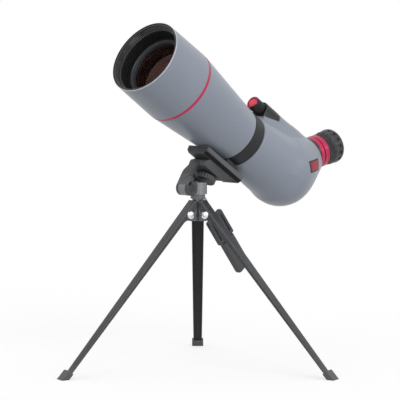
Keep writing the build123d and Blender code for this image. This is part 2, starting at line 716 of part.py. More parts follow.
SPIGOT_R = HOOD_BORE_R - SEAT
SPIGOT_BORE_R = SPIGOT_R - TUBE_WALL
STEP_END = TUBE_START + 2 * TUBE_WALL
BULKHEAD_START = TUBE_END - TUBE_BULKHEAD
with BuildPart() as main_tube:
    tube_profile = [
        (TUBE_START - SPIGOT_LENGTH, SPIGOT_BORE_R),
        (TUBE_START - SPIGOT_LENGTH, SPIGOT_R),
        (TUBE_START, SPIGOT_R),
        (TUBE_START, SHOULDER_R),
        (TUBE_END, TUBE_END_R),
        (TUBE_END, SLEEVE_R + SEAT),
        (BULKHEAD_START, SLEEVE_R + SEAT),
        (BULKHEAD_START, tube_r(BULKHEAD_START) - TUBE_WALL),
        (STEP_END, tube_r(STEP_END) - TUBE_WALL),
        (TUBE_START + TUBE_WALL, SPIGOT_BORE_R),
    ]
    revolve(outline(SCOPE, tube_profile), axis=axis_of(SCOPE))

# Front thread ring, objective cell, lenses and retaining ring
THREAD_END = THREAD_INSET + THREAD_PITCH * (THREAD_TURNS + 1)
thread_bore = HOOD_BORE_R - SEAT - THREAD_RING_T
thread_profile = [(THREAD_INSET, HOOD_BORE_R - SEAT), (THREAD_INSET, thread_bore)]
for turn in range(THREAD_TURNS):
    crest = THREAD_INSET + THREAD_PITCH * (turn + 0.5)
    thread_profile.append((crest, thread_bore))
    thread_profile.append((crest + THREAD_PITCH / 2, thread_bore + THREAD_DEPTH))
last_crest = THREAD_INSET + THREAD_PITCH * (THREAD_TURNS + 0.5)
thread_profile += [(last_crest, thread_bore), (THREAD_END, thread_bore), (THREAD_END, HOOD_BORE_R - SEAT)]
with BuildPart() as thread_ring:
    revolve(outline(SCOPE, thread_profile), axis=axis_of(SCOPE))

CELL_FLOOR = THREAD_END + CELL_STEP
CELL_BORE_R = OBJECTIVE_R + SEAT
LENS_FRONT = CELL_FLOOR + RETAINER_T
LENS_SPLIT = LENS_FRONT + OBJECTIVE_FRONT_T
LENS_REAR = LENS_SPLIT + OBJECTIVE_AIR + OBJECTIVE_REAR_T
with BuildPart() as objective_cell:
    cell_profile = [
        (THREAD_END, CELL_MOUTH_R),
        (THREAD_END, HOOD_BORE_R - SEAT),
        (CELL_FLOOR + CELL_WALL, HOOD_BORE_R - SEAT),
        (CELL_FLOOR + CELL_WALL, CELL_BORE_R + CELL_WALL),
        (LENS_REAR + CELL_WALL, CELL_BORE_R + CELL_WALL),
        (LENS_REAR + CELL_WALL, CELL_LIP_R),
        (LENS_REAR, CELL_LIP_R),
        (LENS_REAR, CELL_BORE_R),
        (CELL_FLOOR, CELL_BORE_R),
        (CELL_FLOOR, CELL_MOUTH_R),
    ]
    revolve(outline(SCOPE, cell_profile), axis=axis_of(SCOPE))

with BuildPart() as lens_retainer:
    revolve(outline(SCOPE, band(CELL_FLOOR, LENS_FRONT, RETAINER_BORE_R, OBJECTIVE_R)), axis=axis_of(SCOPE))

with BuildPart() as objective_front:
    front_half = lens_outline(
        SCOPE, LENS_FRONT, LENS_SPLIT, RETAINER_BORE_R, OBJECTIVE_FRONT_SAG, -OBJECTIVE_AIR
    )
    revolve(front_half, axis=axis_of(SCOPE))
    revolve(outline(SCOPE, band(LENS_FRONT, LENS_SPLIT, RETAINER_BORE_R / 2, OBJECTIVE_R)), axis=axis_of(SCOPE))

with BuildPart() as objective_rear:
    rear_half = lens_outline(
        SCOPE, LENS_SPLIT + OBJECTIVE_AIR, LENS_REAR, OBJECTIVE_R, OBJECTIVE_AIR / 2, -OBJECTIVE_REAR_SAG
    )
    revolve(rear_half, axis=axis_of(SCOPE))

with BuildPart() as light_baffle:
    baffle_start = TUBE_START + BAFFLE_BACK
    baffle_r = tube_r(baffle_start + BAFFLE_T) - TUBE_WALL - SEAT
    baffle_profile = band(baffle_start, baffle_start + BAFFLE_T, BAFFLE_BORE_R, baffle_r)
    revolve(outline(SCOPE, baffle_profile), axis=axis_of(SCOPE))

# Sleeve through the neck: tube and housing are fixed to it,
# the collar turns on it, the focus carriage slides in it
SLEEVE_START = BULKHEAD_START - SLEEVE_FLANGE_T - SLEEVE_AHEAD
SLEEVE_END = HOUSING_START + SLEEVE_BEHIND
CARRIAGE_MID = HOUSING_START + CARRIAGE_BACK
with BuildPart() as neck_sleeve:
    sleeve_profile = [
        (SLEEVE_START, SLEEVE_BORE_R),
        (SLEEVE_START, SLEEVE_R),
        (BULKHEAD_START - SLEEVE_FLANGE_T, SLEEVE_R),
        (BULKHEAD_START - SLEEVE_FLANGE_T, SLEEVE_FLANGE_R),
        (BULKHEAD_START, SLEEVE_FLANGE_R),
        (BULKHEAD_START, SLEEVE_R),
        (SLEEVE_END, SLEEVE_R),
        (SLEEVE_END, SLEEVE_BORE_R),
    ]
    revolve(outline(SCOPE, sleeve_profile), axis=axis_of(SCOPE))
    slot_start = CARRIAGE_MID - CARRIAGE_TRAVEL - CARRIAGE_ARM_L
    slot_length = SLEEVE_END - slot_start
    arm_slot = slab(square_to(SCOPE, slot_start), CARRIAGE_ARM_W + 2 * CLEAR, SLEEVE_R, (0, SLEEVE_R))
    extrude(arm_slot, amount=slot_length, mode=Mode.SUBTRACT)

# Collar with its foot and the boss for the lock knob
COLLAR_AXIS = turned_plane(shifted(SCOPE, COLLAR_MID, -COLLAR_FOOT_DROP), 90)
LOCK = Plane(origin=SCOPE.from_local_coords((COLLAR_MID, 0, 0)), x_dir=-SCOPE.z_dir, z_dir=SCOPE.y_dir)
foot_side = [
    (COLLAR_START, -COLLAR_FOOT_DROP),
    (COLLAR_START, 0),
    (COLLAR_END, 0),
    (COLLAR_END, -COLLAR_FOOT_DROP + COLLAR_TOE_T),
    (COLLAR_END + COLLAR_TOE, -COLLAR_FOOT_DROP + COLLAR_TOE_T),
    (COLLAR_END + COLLAR_TOE, -COLLAR_FOOT_DROP),
]
LOCK_BOSS_END = COLLAR_R + LOCK_BOSS_H
LOCK_TIP = SLEEVE_R + CLEAR
with BuildPart() as collar:
    extrude(outline(SCOPE, foot_side), amount=COLLAR_FOOT_HALF, both=True)
    extrude(disc(square_to(SCOPE, COLLAR_START), COLLAR_R), amount=COLLAR_WIDTH)
    extrude(disc(square_to(LOCK), LOCK_BOSS_R), amount=LOCK_BOSS_END)
    extrude(disc(square_to(SCOPE, COLLAR_START), SLEEVE_R + RUN), amount=COLLAR_WIDTH, mode=Mode.SUBTRACT)
    extrude(disc(square_to(LOCK), LOCK_STUD_R + RUN), amount=LOCK_BOSS_END, mode=Mode.SUBTRACT)
    extrude(disc(square_to(COLLAR_AXIS), FOOT_SCREW_R + SEAT), amount=FOOT_SCREW_DEPTH, mode=Mode.SUBTRACT)

with BuildPart() as collar_lock:
    extrude(disc(square_to(LOCK, LOCK_TIP), LOCK_STUD_R), amount=LOCK_BOSS_END + CLEAR - LOCK_TIP)
    extrude(disc(square_to(LOCK, LOCK_BOSS_END + CLEAR), LOCK_KNOB_R), amount=LOCK_KNOB_T)
    lock_flutes = disc(
        square_to(LOCK, LOCK_BOSS_END + CLEAR), LOCK_FLUTE_R, *ring_spots(LOCK_FLUTES, LOCK_KNOB_R)
    )
    extrude(lock_flutes, amount=LOCK_KNOB_T, mode=Mode.SUBTRACT)

# Prism housing: a neck swelling to a round bulb, a cone up to the eyepiece socket, and the focus ridge on top
BULB_STATION = HOUSING_START + BULB_BACK
BULB_TILT = atan2(BULB_H, BULB_BACK)
EYE_CENTRE = SCOPE.to_local_coords(EYE.origin)
CONE_REACH = hypot(EYE_CENTRE.X - BULB_STATION, EYE_CENTRE.Y - BULB_H)
CONE_TILT = atan2(EYE_CENTRE.Y - BULB_H, EYE_CENTRE.X - BULB_STATION)
BULB = shifted(SCOPE, BULB_STATION, BULB_H)
NECK_LINE = Plane(
    origin=BULB.origin,
    x_dir=SCOPE.x_dir * cos(BULB_TILT) + SCOPE.y_dir * sin(BULB_TILT),
    z_dir=SCOPE.z_dir,
)
CONE_LINE = Plane(
    origin=BULB.origin,
    x_dir=SCOPE.x_dir * cos(CONE_TILT) + SCOPE.y_dir * sin(CONE_TILT),
    z_dir=SCOPE.z_dir,
)


def housing_form(inset, front, reach):
    """The housing's round form; an inset gives its hollow. Reach scales the cone past its end circle."""
    bulb_r = BULB_R - inset
    mouth = Vector(CONE_REACH, SOCKET_R - inset)
    tangent = atan2(mouth.Y, mouth.X) + acos(bulb_r / mouth.length)
    touch = Vector(bulb_r * cos(tangent), bulb_r * sin(tangent))
    cone_end = touch + (mouth - touch) * reach
    middle = (radians(180) + tangent) / 2
    with BuildPart() as form:
        with BuildSketch(square_to(SCOPE, front)):
            Circle(HOUSING_R - inset)
        with BuildSketch(square_to(NECK_LINE)):
            Circle(BULB_NECK_R - inset)
        loft()
        with BuildSketch(CONE_LINE) as cone_profile:
            with BuildLine():
                ThreePointArc((-bulb_r, 0), (bulb_r * cos(middle), bulb_r * sin(middle)), (touch.X, touch.Y))
                Polyline((touch.X, touch.Y), (cone_end.X, cone_end.Y), (cone_end.X, 0), (-bulb_r, 0))
            make_face()
        revolve(cone_profile.sketch, axis=axis_of(CONE_LINE))
    return form.part


def ridge_outline(station, half, drop):
    """Tombstone section about the focus shaft: round on top, straight sides below."""
    with BuildSketch(square_to(FOCUS, station)) as face:
        Circle(half)
        with Locations((0, -drop / 2)):
            Rectangle(2 * half, drop)
    return face.sketch


RIDGE_START = HOUSING_START + RIDGE_BACK
RIDGE_CORE_R = RIDGE_R - FOCUS_COVER_T - SEAT
COVER_END = COVER_START + FOCUS_COVER_LENGTH
TUNNEL_START = RIDGE_START + HOUSING_WALL
TUNNEL_END = TUNNEL_START + TUNNEL_LENGTH
CONE_OVERREACH = 1.2
badge_dir = CONE_LINE.y_dir * cos(radians(BADGE_TURN)) - CONE_LINE.z_dir * sin(radians(BADGE_TURN))
mouth_angle = atan2(SOCKET_R, CONE_REACH) + acos(BULB_R / hypot(SOCKET_R, CONE_REACH))
CONE_SLOPE = radians(90) - mouth_angle
badge_surface_r = SOCKET_R + (CONE_REACH - BADGE_STATION) * sin(CONE_SLOPE) / cos(CONE_SLOPE)
BADGE = Plane(
    origin=CONE_LINE.origin + CONE_LINE.x_dir * BADGE_STATION + badge_dir * badge_surface_r,
    x_dir=CONE_LINE.x_dir * cos(CONE_SLOPE) - badge_dir * sin(CONE_SLOPE),
    z_dir=CONE_LINE.x_dir * sin(CONE_SLOPE) + badge_dir * cos(CONE_SLOPE),
).rotated((0, 0, BADGE_SLANT))
with BuildPart() as prism_housing:
    add(housing_form(0, HOUSING_START, CONE_OVERREACH))
    extrude(ridge_outline(RIDGE_START, RIDGE_CORE_R, RIDGE_H / 2), amount=RIDGE_LENGTH)
    rear_ridge = ridge_outline(COVER_END + CLEAR, RIDGE_R, RIDGE_H / 2)
    extrude(rear_ridge, amount=RIDGE_START + RIDGE_LENGTH - COVER_END)
    split(bisect_by=square_to(EYE), keep=Keep.BOTTOM)
    hollow = housing_form(HOUSING_WALL, HOUSING_START + HOUSING_WALL, 1 - HOUSING_WALL / CONE_REACH)
    add(hollow, mode=Mode.SUBTRACT)
    extrude(ridge_outline(TUNNEL_START, RIDGE_R - RIDGE_WALL, 0.01), amount=TUNNEL_LENGTH, mode=Mode.SUBTRACT)
    tunnel_slot = slab(square_to(FOCUS, TUNNEL_START), SLOT_W, RIDGE_H / 2, (0, -RIDGE_H / 4))
    extrude(tunnel_slot, amount=TUNNEL_LENGTH, mode=Mode.SUBTRACT)
    shaft_bore = disc(square_to(FOCUS, RIDGE_START), LEAD_R + RUN)
    extrude(shaft_bore, amount=TUNNEL_END + SHAFT_END_BORE - RIDGE_START, mode=Mode.SUBTRACT)
    extrude(
        disc(square_to(SCOPE, HOUSING_START), SLEEVE_R + SEAT), amount=2 * HOUSING_WALL, mode=Mode.SUBTRACT
    )
    extrude(disc(square_to(EYE), BARREL_SPIGOT_R), amount=-2 * BARREL_SPIGOT_LENGTH, mode=Mode.SUBTRACT)
    badge_pocket = slab(BADGE, BADGE_LENGTH + 2 * SEAT, BADGE_WIDTH + 2 * SEAT)
    extrude(badge_pocket, amount=BADGE_T, mode=Mode.SUBTRACT)
    extrude(badge_pocket, amount=-(BADGE_T - BADGE_PROUD), mode=Mode.SUBTRACT)

with BuildPart() as badge_plate:
    extrude(slab(BADGE.offset(BADGE_PROUD), BADGE_LENGTH, BADGE_WIDTH), amount=-BADGE_T)

# Focus knob, cap, cover and lead screw on the ridge, and the lens carriage that the screw drives
KNOB_END = COVER_START - FOCUS_KNOB_GAP
KNOB_START = KNOB_END - FOCUS_KNOB_LENGTH
with BuildPart() as focus_knob:
    revolve(outline(FOCUS, band(KNOB_START, KNOB_END, LEAD_R + SEAT, FOCUS_KNOB_R)), axis=axis_of(FOCUS))

with BuildPart() as focus_cap:
    with BuildSketch(FOCUS) as cap_profile:
        with BuildLine():
            cap_front = KNOB_START - FOCUS_CAP_H
            TangentArc((cap_front, 0), (cap_front + FOCUS_CAP_DOME, FOCUS_KNOB_R), tangent=(0, 1))
            Polyline(
                (cap_front + FOCUS_CAP_DOME, FOCUS_KNOB_R),
                (KNOB_START, FOCUS_KNOB_R),
                (KNOB_START, 0),
                (cap_front, 0),
            )
        make_face()
    revolve(cap_profile.sketch, axis=axis_of(FOCUS))

with BuildPart() as focus_screw:
    screw_end = TUNNEL_END + SHAFT_END_BORE - CLEAR
    extrude(disc(square_to(FOCUS, KNOB_START), LEAD_R), amount=screw_end - KNOB_START)

with BuildPart() as focus_cover:
    extrude(ridge_outline(COVER_START, RIDGE_R, FOCUS_COVER_DROP), amount=FOCUS_COVER_LENGTH)
    extrude(
        ridge_outline(RIDGE_START, RIDGE_CORE_R + SEAT, RIDGE_H), amount=FOCUS_COVER_LENGTH, mode=Mode.SUBTRACT
    )
    taper_cut = [
        (COVER_START, -FOCUS_COVER_DROP),
        (COVER_END, -FOCUS_COVER_TAIL),
        (COVER_END, -RIDGE_H),
        (COVER_START, -RIDGE_H),
    ]
    extrude(outline(FOCUS, taper_cut), amount=2 * RIDGE_R, both=True, mode=Mode.SUBTRACT)
    extrude(disc(square_to(FOCUS, COVER_START), LEAD_R + CLEAR), amount=FOCUS_COVER_FRONT, mode=Mode.SUBTRACT)

CARRIAGE_START = CARRIAGE_MID - CARRIAGE_LENGTH / 2
with BuildPart() as focus_carriage:
    extrude(disc(square_to(SCOPE, CARRIAGE_START), SLEEVE_BORE_R - RUN), amount=CARRIAGE_LENGTH)
    arm_height = RIDGE_H - CARRIAGE_BORE_R
    arm = slab(
        square_to(SCOPE, CARRIAGE_MID - CARRIAGE_ARM_L / 2),
        CARRIAGE_ARM_W,
        arm_height,
        (0, CARRIAGE_BORE_R + arm_height / 2),
    )
    extrude(arm, amount=CARRIAGE_ARM_L)
    extrude(disc(square_to(FOCUS, CARRIAGE_MID - NUT_LENGTH / 2), NUT_R), amount=NUT_LENGTH)
    extrude(disc(square_to(SCOPE, CARRIAGE_START), CARRIAGE_BORE_R), amount=CARRIAGE_LENGTH, mode=Mode.SUBTRACT)
    extrude(disc(square_to(FOCUS, CARRIAGE_START), LEAD_R + RUN), amount=CARRIAGE_LENGTH, mode=Mode.SUBTRACT)

with BuildPart() as focus_lens:
    lens_front = CARRIAGE_MID - FOCUS_LENS_T / 2
    focus_half = lens_outline(
        SCOPE, lens_front, lens_front + FOCUS_LENS_T, CARRIAGE_BORE_R - SEAT, -FOCUS_LENS_SAG, -FOCUS_LENS_SAG
    )
    revolve(focus_half, axis=axis_of(SCOPE))

# Prism between two cheeks of a holder that fills the housing's section
HOLDER_START = HOUSING_START + HOLDER_BACK
holder_share = (HOLDER_BACK - HOUSING_WALL) / (BULB_BACK - HOUSING_WALL)
holder_r = HOUSING_R - HOUSING_WALL + (BULB_NECK_R - HOUSING_R) * holder_share - HOLDER_GAP
holder_h = BULB_H * holder_share
PRISM_START = HOLDER_START + HOLDER_T + PRISM_SPACE
with BuildPart() as prism_holder:
    extrude(disc(square_to(SCOPE, HOLDER_START, holder_h), holder_r), amount=HOLDER_T)
    cheek_x = PRISM_HALF + SEAT + CHEEK_T / 2
    for side in (-cheek_x, cheek_x):
        cheek = slab(
            square_to(SCOPE, HOLDER_START),
            CHEEK_T,
            CHEEK_LOW + CHEEK_HIGH,
            (side, (CHEEK_HIGH - CHEEK_LOW) / 2),
        )
        extrude(cheek, amount=CHEEK_REACH)
    extrude(disc(square_to(SCOPE, HOLDER_START), HOLDER_BORE_R), amount=HOLDER_T, mode=Mode.SUBTRACT)

exit_low = SCOPE.to_local_coords(EYE_FOLD.from_local_coords((PRISM_EXIT_OFFSET, -PRISM_FACE_HALF, 0)))
exit_high = SCOPE.to_local_coords(EYE_FOLD.from_local_coords((PRISM_EXIT_OFFSET, PRISM_FACE_HALF, 0)))
with BuildPart() as roof_prism:
    prism_side = [
        (PRISM_START, -PRISM_ENTRY_HALF),
        (PRISM_START, PRISM_ENTRY_HALF),
        (exit_high.X, exit_high.Y),
        (exit_low.X, exit_low.Y),
    ]
    extrude(outline(SCOPE, prism_side), amount=PRISM_HALF, both=True)

# Eyepiece: barrel with base flange, red ring, zoom ring, eyecup and the lenses inside
RED_START = BASE_FLANGE_T
RED_END = RED_START + RED_RING_T + RED_GROOVE_T + RED_RING_REAR_T
ZOOM_START = RED_END + RING_GAP
ZOOM_END = ZOOM_START + ZOOM_RING_T
CUP_START = ZOOM_END + RING_GAP
CUP_END = CUP_START + EYECUP_LENGTH
BARREL_END = CUP_END - EYECUP_LIP_T - BARREL_END_GAP
BARREL_BORE_R = BARREL_R - BARREL_WALL
EYE_RING_START = BARREL_END - EYE_RING_T
EYE_LENS_START = EYE_RING_START - EYE_LENS_T - EYE_LENS_SAG
with BuildPart() as eyepiece_barrel:
    barrel_profile = [
        (-BARREL_SPIGOT_LENGTH, BARREL_BORE_R),
        (-BARREL_SPIGOT_LENGTH, BARREL_SPIGOT_R - SEAT),
        (0, BARREL_SPIGOT_R - SEAT),
        (0, BASE_FLANGE_R),
        (BASE_FLANGE_T, BASE_FLANGE_R),
        (BASE_FLANGE_T, BARREL_R),
        (BARREL_END, BARREL_R),
        (BARREL_END, BARREL_BORE_R),
        (EYE_LENS_START, BARREL_BORE_R),
        (EYE_LENS_START, BARREL_BORE_R - EYE_SEAT_LIP),
        (EYE_LENS_START - EYE_SEAT_T, BARREL_BORE_R - EYE_SEAT_LIP),
        (EYE_LENS_START - EYE_SEAT_T, BARREL_BORE_R),
    ]
    revolve(outline(EYE, barrel_profile), axis=axis_of(EYE))
    pin_station = ZOOM_CELL_START + ZOOM_CELL_LENGTH / 2
    pin_slot_half = ZOOM_PIN_R + CLEAR
    slot_face = slab(
        Plane(origin=EYE.origin, x_dir=EYE.x_dir, z_dir=-EYE.y_dir),
        ZOOM_TRAVEL + 2 * pin_slot_half,
        2 * pin_slot_half,
        (pin_station + ZOOM_TRAVEL / 2, 0),
    )
    extrude(slot_face, amount=BARREL_SPIGOT_R - SEAT, mode=Mode.SUBTRACT)

with BuildPart() as red_ring:
    groove_start = RED_START + RED_RING_T
    red_profile = [
        (RED_START, BARREL_R + SEAT),
        (RED_START, RED_RING_R),
        (groove_start, RED_RING_R),
        (groove_start, RED_RING_R - RED_GROOVE_DEPTH),
        (groove_start + RED_GROOVE_T, RED_RING_R - RED_GROOVE_DEPTH),
        (groove_start + RED_GROOVE_T, RED_RING_R),
        (RED_END, RED_RING_R),
        (RED_END, BARREL_R + SEAT),
    ]
    revolve(outline(EYE, red_profile), axis=axis_of(EYE))

with BuildPart() as zoom_ring:
    revolve(outline(EYE, band(ZOOM_START, ZOOM_END, BARREL_R + RUN, ZOOM_RING_R)), axis=axis_of(EYE))

with BuildPart() as zoom_cell:
    cell_end = ZOOM_CELL_START + ZOOM_CELL_LENGTH
    zoom_profile = band(ZOOM_CELL_START, cell_end, ZOOM_LENS_R + SEAT, BARREL_BORE_R - RUN)
    revolve(outline(EYE, zoom_profile), axis=axis_of(EYE))
    pin_root = EYE.from_local_coords((pin_station, -ZOOM_LENS_R - 2 * SEAT, 0))
    pin_plane = Plane(origin=pin_root, x_dir=EYE.x_dir, z_dir=-EYE.y_dir)
    extrude(disc(pin_plane, ZOOM_PIN_R), amount=BARREL_R - ZOOM_LENS_R - 2 * SEAT - CLEAR)

with BuildPart() as zoom_lens:
    zoom_front = pin_station - ZOOM_LENS_T / 2
    zoom_rear = zoom_front + ZOOM_LENS_T
    zoom_half = lens_outline(EYE, zoom_front, zoom_rear, ZOOM_LENS_R, ZOOM_LENS_SAG, ZOOM_LENS_SAG)
    revolve(zoom_half, axis=axis_of(EYE))

with BuildPart() as eye_lens:
    eye_half = lens_outline(
        EYE, EYE_LENS_START, EYE_LENS_START + EYE_LENS_T, BARREL_BORE_R - SEAT, -EYE_LENS_SAG, EYE_LENS_SAG
    )
    revolve(eye_half, axis=axis_of(EYE))

with BuildPart() as eye_lens_ring:
    ring_start = EYE_LENS_START + EYE_LENS_T
    eye_ring_profile = band(
        ring_start, BARREL_END, BARREL_BORE_R - SEAT - EYE_RING_WALL, BARREL_BORE_R - SEAT
    )
    revolve(outline(EYE, eye_ring_profile), axis=axis_of(EYE))
    revolve(
        lens_outline(EYE, EYE_LENS_START, ring_start, BARREL_BORE_R, -EYE_LENS_SAG, EYE_LENS_SAG + RUN),
        axis=axis_of(EYE),
        mode=Mode.SUBTRACT,
    )

with BuildPart() as eyecup:
    cup_profile = [
        (CUP_START, BARREL_R + RUN),
        (CUP_START, EYECUP_R),
        (CUP_END - EYECUP_RIM, EYECUP_R),
        (CUP_END - EYECUP_RIM, EYECUP_R + EYECUP_RIM_PROUD),
        (CUP_END, EYECUP_R + EYECUP_RIM_PROUD),
        (CUP_END, EYECUP_LIP_R),
        (CUP_END - EYECUP_LIP_T, EYECUP_LIP_R),
        (CUP_END - EYECUP_LIP_T, BARREL_R + RUN),
    ]
    revolve(outline(EYE, cup_profile), axis=axis_of(EYE))
    rib_gaps = disc(square_to(EYE, CUP_START), EYECUP_RIB_R, *ring_spots(EYECUP_RIBS, EYECUP_R))
    extrude(rib_gaps, amount=EYECUP_LENGTH - EYECUP_RIM, mode=Mode.SUBTRACT)

PIECES = {
    "objective_hood": objective_hood,
    "trim_ring": trim_ring,
    "main_tube": main_tube,
    "thread_ring": thread_ring,
    "objective_cell": objective_cell,
    "lens_retainer": lens_retainer,
    "objective_front": objective_front,
    "objective_rear": objective_rear,
    "light_baffle": light_baffle,
    "neck_sleeve": neck_sleeve,
    "collar": collar,
    "collar_lock": collar_lock,
    "prism_housing": prism_housing,
    "badge_plate": badge_plate,
    "prism_holder": prism_holder,
    "roof_prism": roof_prism,
    "focus_knob": focus_knob,
    "focus_cap": focus_cap,
    "focus_screw": focus_screw,
    "focus_cover": focus_cover,
    "focus_carriage": focus_carriage,
    "focus_lens": focus_lens,
    "eyepiece_barrel": eyepiece_barrel,
    "red_ring": red_ring,
    "zoom_ring": zoom_ring,
    "zoom_cell": zoom_cell,
    "zoom_lens": zoom_lens,
    "eye_lens": eye_lens,
    "eye_lens_ring": eye_lens_ring,
    "eyecup": eyecup,
    "plate": plate,
    "plate_pad": plate_pad,
    "foot_screw": foot_screw,
    "clamp_knob": clamp_knob,
    "clamp_stud": clamp_stud,
    "tilt_bracket": tilt_bracket,
    "tilt_bolt": tilt_bolt,
    "tilt_nut": tilt_nut,
    "pan_base": pan_base,
    "pan_screw": pan_screw,
    "pan_washer": pan_washer,
    "handle_rod": handle_rod,
    "handle_blade": handle_blade,
    "handle_grip": handle_grip,
    "hub": hub,
    "pivot_screws": pivot_screws,
}
for name, leg, foot in zip(LEG_NAMES, legs, feet):
    PIECES[f"leg_{name}"] = leg
    PIECES[f"foot_{name}"] = foot

os.makedirs("parts", exist_ok=True)
for name, piece in PIECES.items():
    piece.part.label = name
    export_step(piece.part, f"parts/{name}.step")
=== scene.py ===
import json
from math import acos, atan2, copysign, cos, degrees, hypot, pi, radians, remainder, sin, sqrt, tan

import bmesh
import bpy
import numpy as np
from mathutils import Matrix, Vector


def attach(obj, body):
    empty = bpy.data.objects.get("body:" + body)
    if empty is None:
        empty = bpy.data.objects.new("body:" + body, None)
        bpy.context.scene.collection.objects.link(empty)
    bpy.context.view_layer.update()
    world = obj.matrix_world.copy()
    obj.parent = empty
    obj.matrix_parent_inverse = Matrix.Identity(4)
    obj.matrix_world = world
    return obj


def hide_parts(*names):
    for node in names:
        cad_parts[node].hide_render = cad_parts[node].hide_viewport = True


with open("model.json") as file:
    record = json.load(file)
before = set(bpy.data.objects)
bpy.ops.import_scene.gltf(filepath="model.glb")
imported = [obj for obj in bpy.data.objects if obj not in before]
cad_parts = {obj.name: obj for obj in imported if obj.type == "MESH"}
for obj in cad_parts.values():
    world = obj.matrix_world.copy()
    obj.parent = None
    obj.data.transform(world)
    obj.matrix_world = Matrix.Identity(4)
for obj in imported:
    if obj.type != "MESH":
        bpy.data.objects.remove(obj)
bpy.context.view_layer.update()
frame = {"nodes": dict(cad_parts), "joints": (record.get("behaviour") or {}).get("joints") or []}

# Angled spotting scope on a folding table-top tripod. Sizes are millimetres in the part's own frame.
# On a line, stations run along X, heights along Y, and Z points aside. A name in _R is a radius, one in _H a
# height and one in _T a thickness. In an outline, a corner's third value is how far its rounding reaches.
MM = 0.001
SHARP = radians(38)
# Steps round a turned piece, from the finest flutes down to a screw's stem
FINEST, FINE, WIDE, BAND, EVEN, MIDDLE, SLIM, THIN, STEM = 480, 288, 192, 160, 144, 128, 96, 64, 48

# Tube and objective
COLLAR_MID = 167.0
RIM_R, RIM_BEVEL, RIM_HIGHLIGHT_END = 42.0, 1.1, 0.7
SHOULDER_R, HOOD_BORE_R, HOOD_END = 42.9, 40.2, 57.0
TUBE_START, TUBE_END, TUBE_END_R, TUBE_T = 59.0, 159.0, 32.3, 2.0
TRIM_R, TRIM_SEAT_R, TRIM_FOOT_R, TRIM_START, TRIM_END = 42.45, 42.05, 42.1, 56.2, 59.8
SPIGOT_R, SPIGOT_BORE_R, SPIGOT_START, SPIGOT_END, TAPER_START = 40.15, 38.15, 45.0, 61.0, 63.0
BULKHEAD, SLEEVE_SEAT_R = 155.5, 28.95
LINING_START, LINING_WIDEST, LINING_T = 36.0, 62.0, 0.3
LINING_START_R, LINING_WIDEST_R, LINING_END_R = 36.0, 37.6, 30.1
STOPS, STOP_H, STOP_FOOT, STOP_TIP = (58, 53, 48, 43), 2.6, 0.5, 0.2
THREAD_START, THREAD_END, THREAD_BORE_R = 0.8, 8.0, 38.95
THREAD_PITCH, THREAD_DEPTH, THREAD_STEPS, THREAD_RUN_OUT = 1.8, 0.9, 8, 4
CELL_MOUTH_R, CELL_FLOOR, CELL_BORE_R = 37.3, 21.0, 31.65
CELL_BACK, CELL_T, CELL_SEAT_R = 23.0, 2.0, 28.6
FLOOR_RING_R, FLOOR_RING_FOOT_R, FLOOR_RING_H = 33.4, 33.8, 0.8
GROOVES, GROOVE_BACK, GROOVE_PITCH, GROOVE_HALF, GROOVE_DEPTH = 8, 2.4, 1.2, 0.3, 0.35
LIP_PROUD, LIP_LENGTH = 0.1, 1.6
LENS_FRONT, LENS_SPLIT, LENS_REAR = 25.0, 29.0, 33.9
LENS_R, LENS_OPEN_R, LENS_BULGE, LENS_HOLLOW, LENS_GAP = 31.6, 30.0, 2.4, 0.3, 0.3
RING_FACE, RING_SLOT_END, RING_BEVEL = 21.2, 23.2, 0.5
NOTCH_TURN, NOTCH_DEPTH, NOTCH_HALF = 0.6, 1.1, 1.6

# Collar and its lock
COLLAR_START, COLLAR_END, COLLAR_R, COLLAR_BORE_R = 159.4, 174.6, 32.1, 28.96
COLLAR_SOLE, COLLAR_FOOT_TOP, COLLAR_FOOT_HALF = -36.4, -29.2, 10.0
COLLAR_TAIL, COLLAR_TAIL_T = 8.0, 1.8
BOSS_START, BOSS_END, BOSS_R, BOSS_BORE_R = 30.5, 35.6, 5.0, 2.56
LOCK_TIP, LOCK_STEM_R, LOCK_START, LOCK_END, LOCK_R = 29.3, 2.5, 35.9, 44.9, 7.0

# Housing and focus drive
HOUSE_START, HOUSE_R, HOUSE_SLEEVE = 175.0, 33.0, 5.0
BULB_STATION, BULB_H, BULB_R, BULB_NECK_R = 248.5, 4.4, 38.9, 38.0
FOLD_STATION, EYE_REACH, EYE_LEAN = 235.4, 65.0, 45
SOCKET_R, SOCKET_BORE_R, SOCKET_FLOOR, SOCKET_FLOOR_R = 20.6, 16.0, -14.0, 17.5
SOCKET_EDGE, SOCKET_SLANT, SOCKET_EASE, SOCKET_EASE_LENGTH = -4.4, 3.4, 2.6, 4.5
RIDGE_H, RIDGE_R, RIDGE_START, RIDGE_END = 45.6, 9.6, 184.5, 262.0
RIDGE_SPREAD, RIDGE_CLIMB, RIDGE_FADE, RIDGE_CLEAR = 4.0, 0.5, 232.0, 12.0
COVER_START, COVER_END, COVER_DROP, COVER_TAIL = 183.0, 208.0, 8.8, 0.6
COVER_INNER_R, COVER_FACE_T, COVER_TUCK, COVER_STEPS = 8.3, 1.5, 0.5, 20
KNOB_START, KNOB_END, KNOB_FRONT, KNOB_R, KNOB_BORE_R = 170.2, 182.6, 168.2, 7.6, 6.62
CAP_FRONT, CAP_SEAT, CAP_R, BEZEL_BORE_R, BEZEL_R = 167.0, 170.15, 5.2, 5.25, 6.58
LEAD_R, LEAD_HOLE_R = 2.55, 2.8
BADGE_STATION, BADGE_SLANT, BADGE_LENGTH, BADGE_WIDTH = 21.7, -13.0, 26.0, 13.4
BADGE_BORDER_LENGTH, BADGE_BORDER_WIDTH = 2.6, 1.7

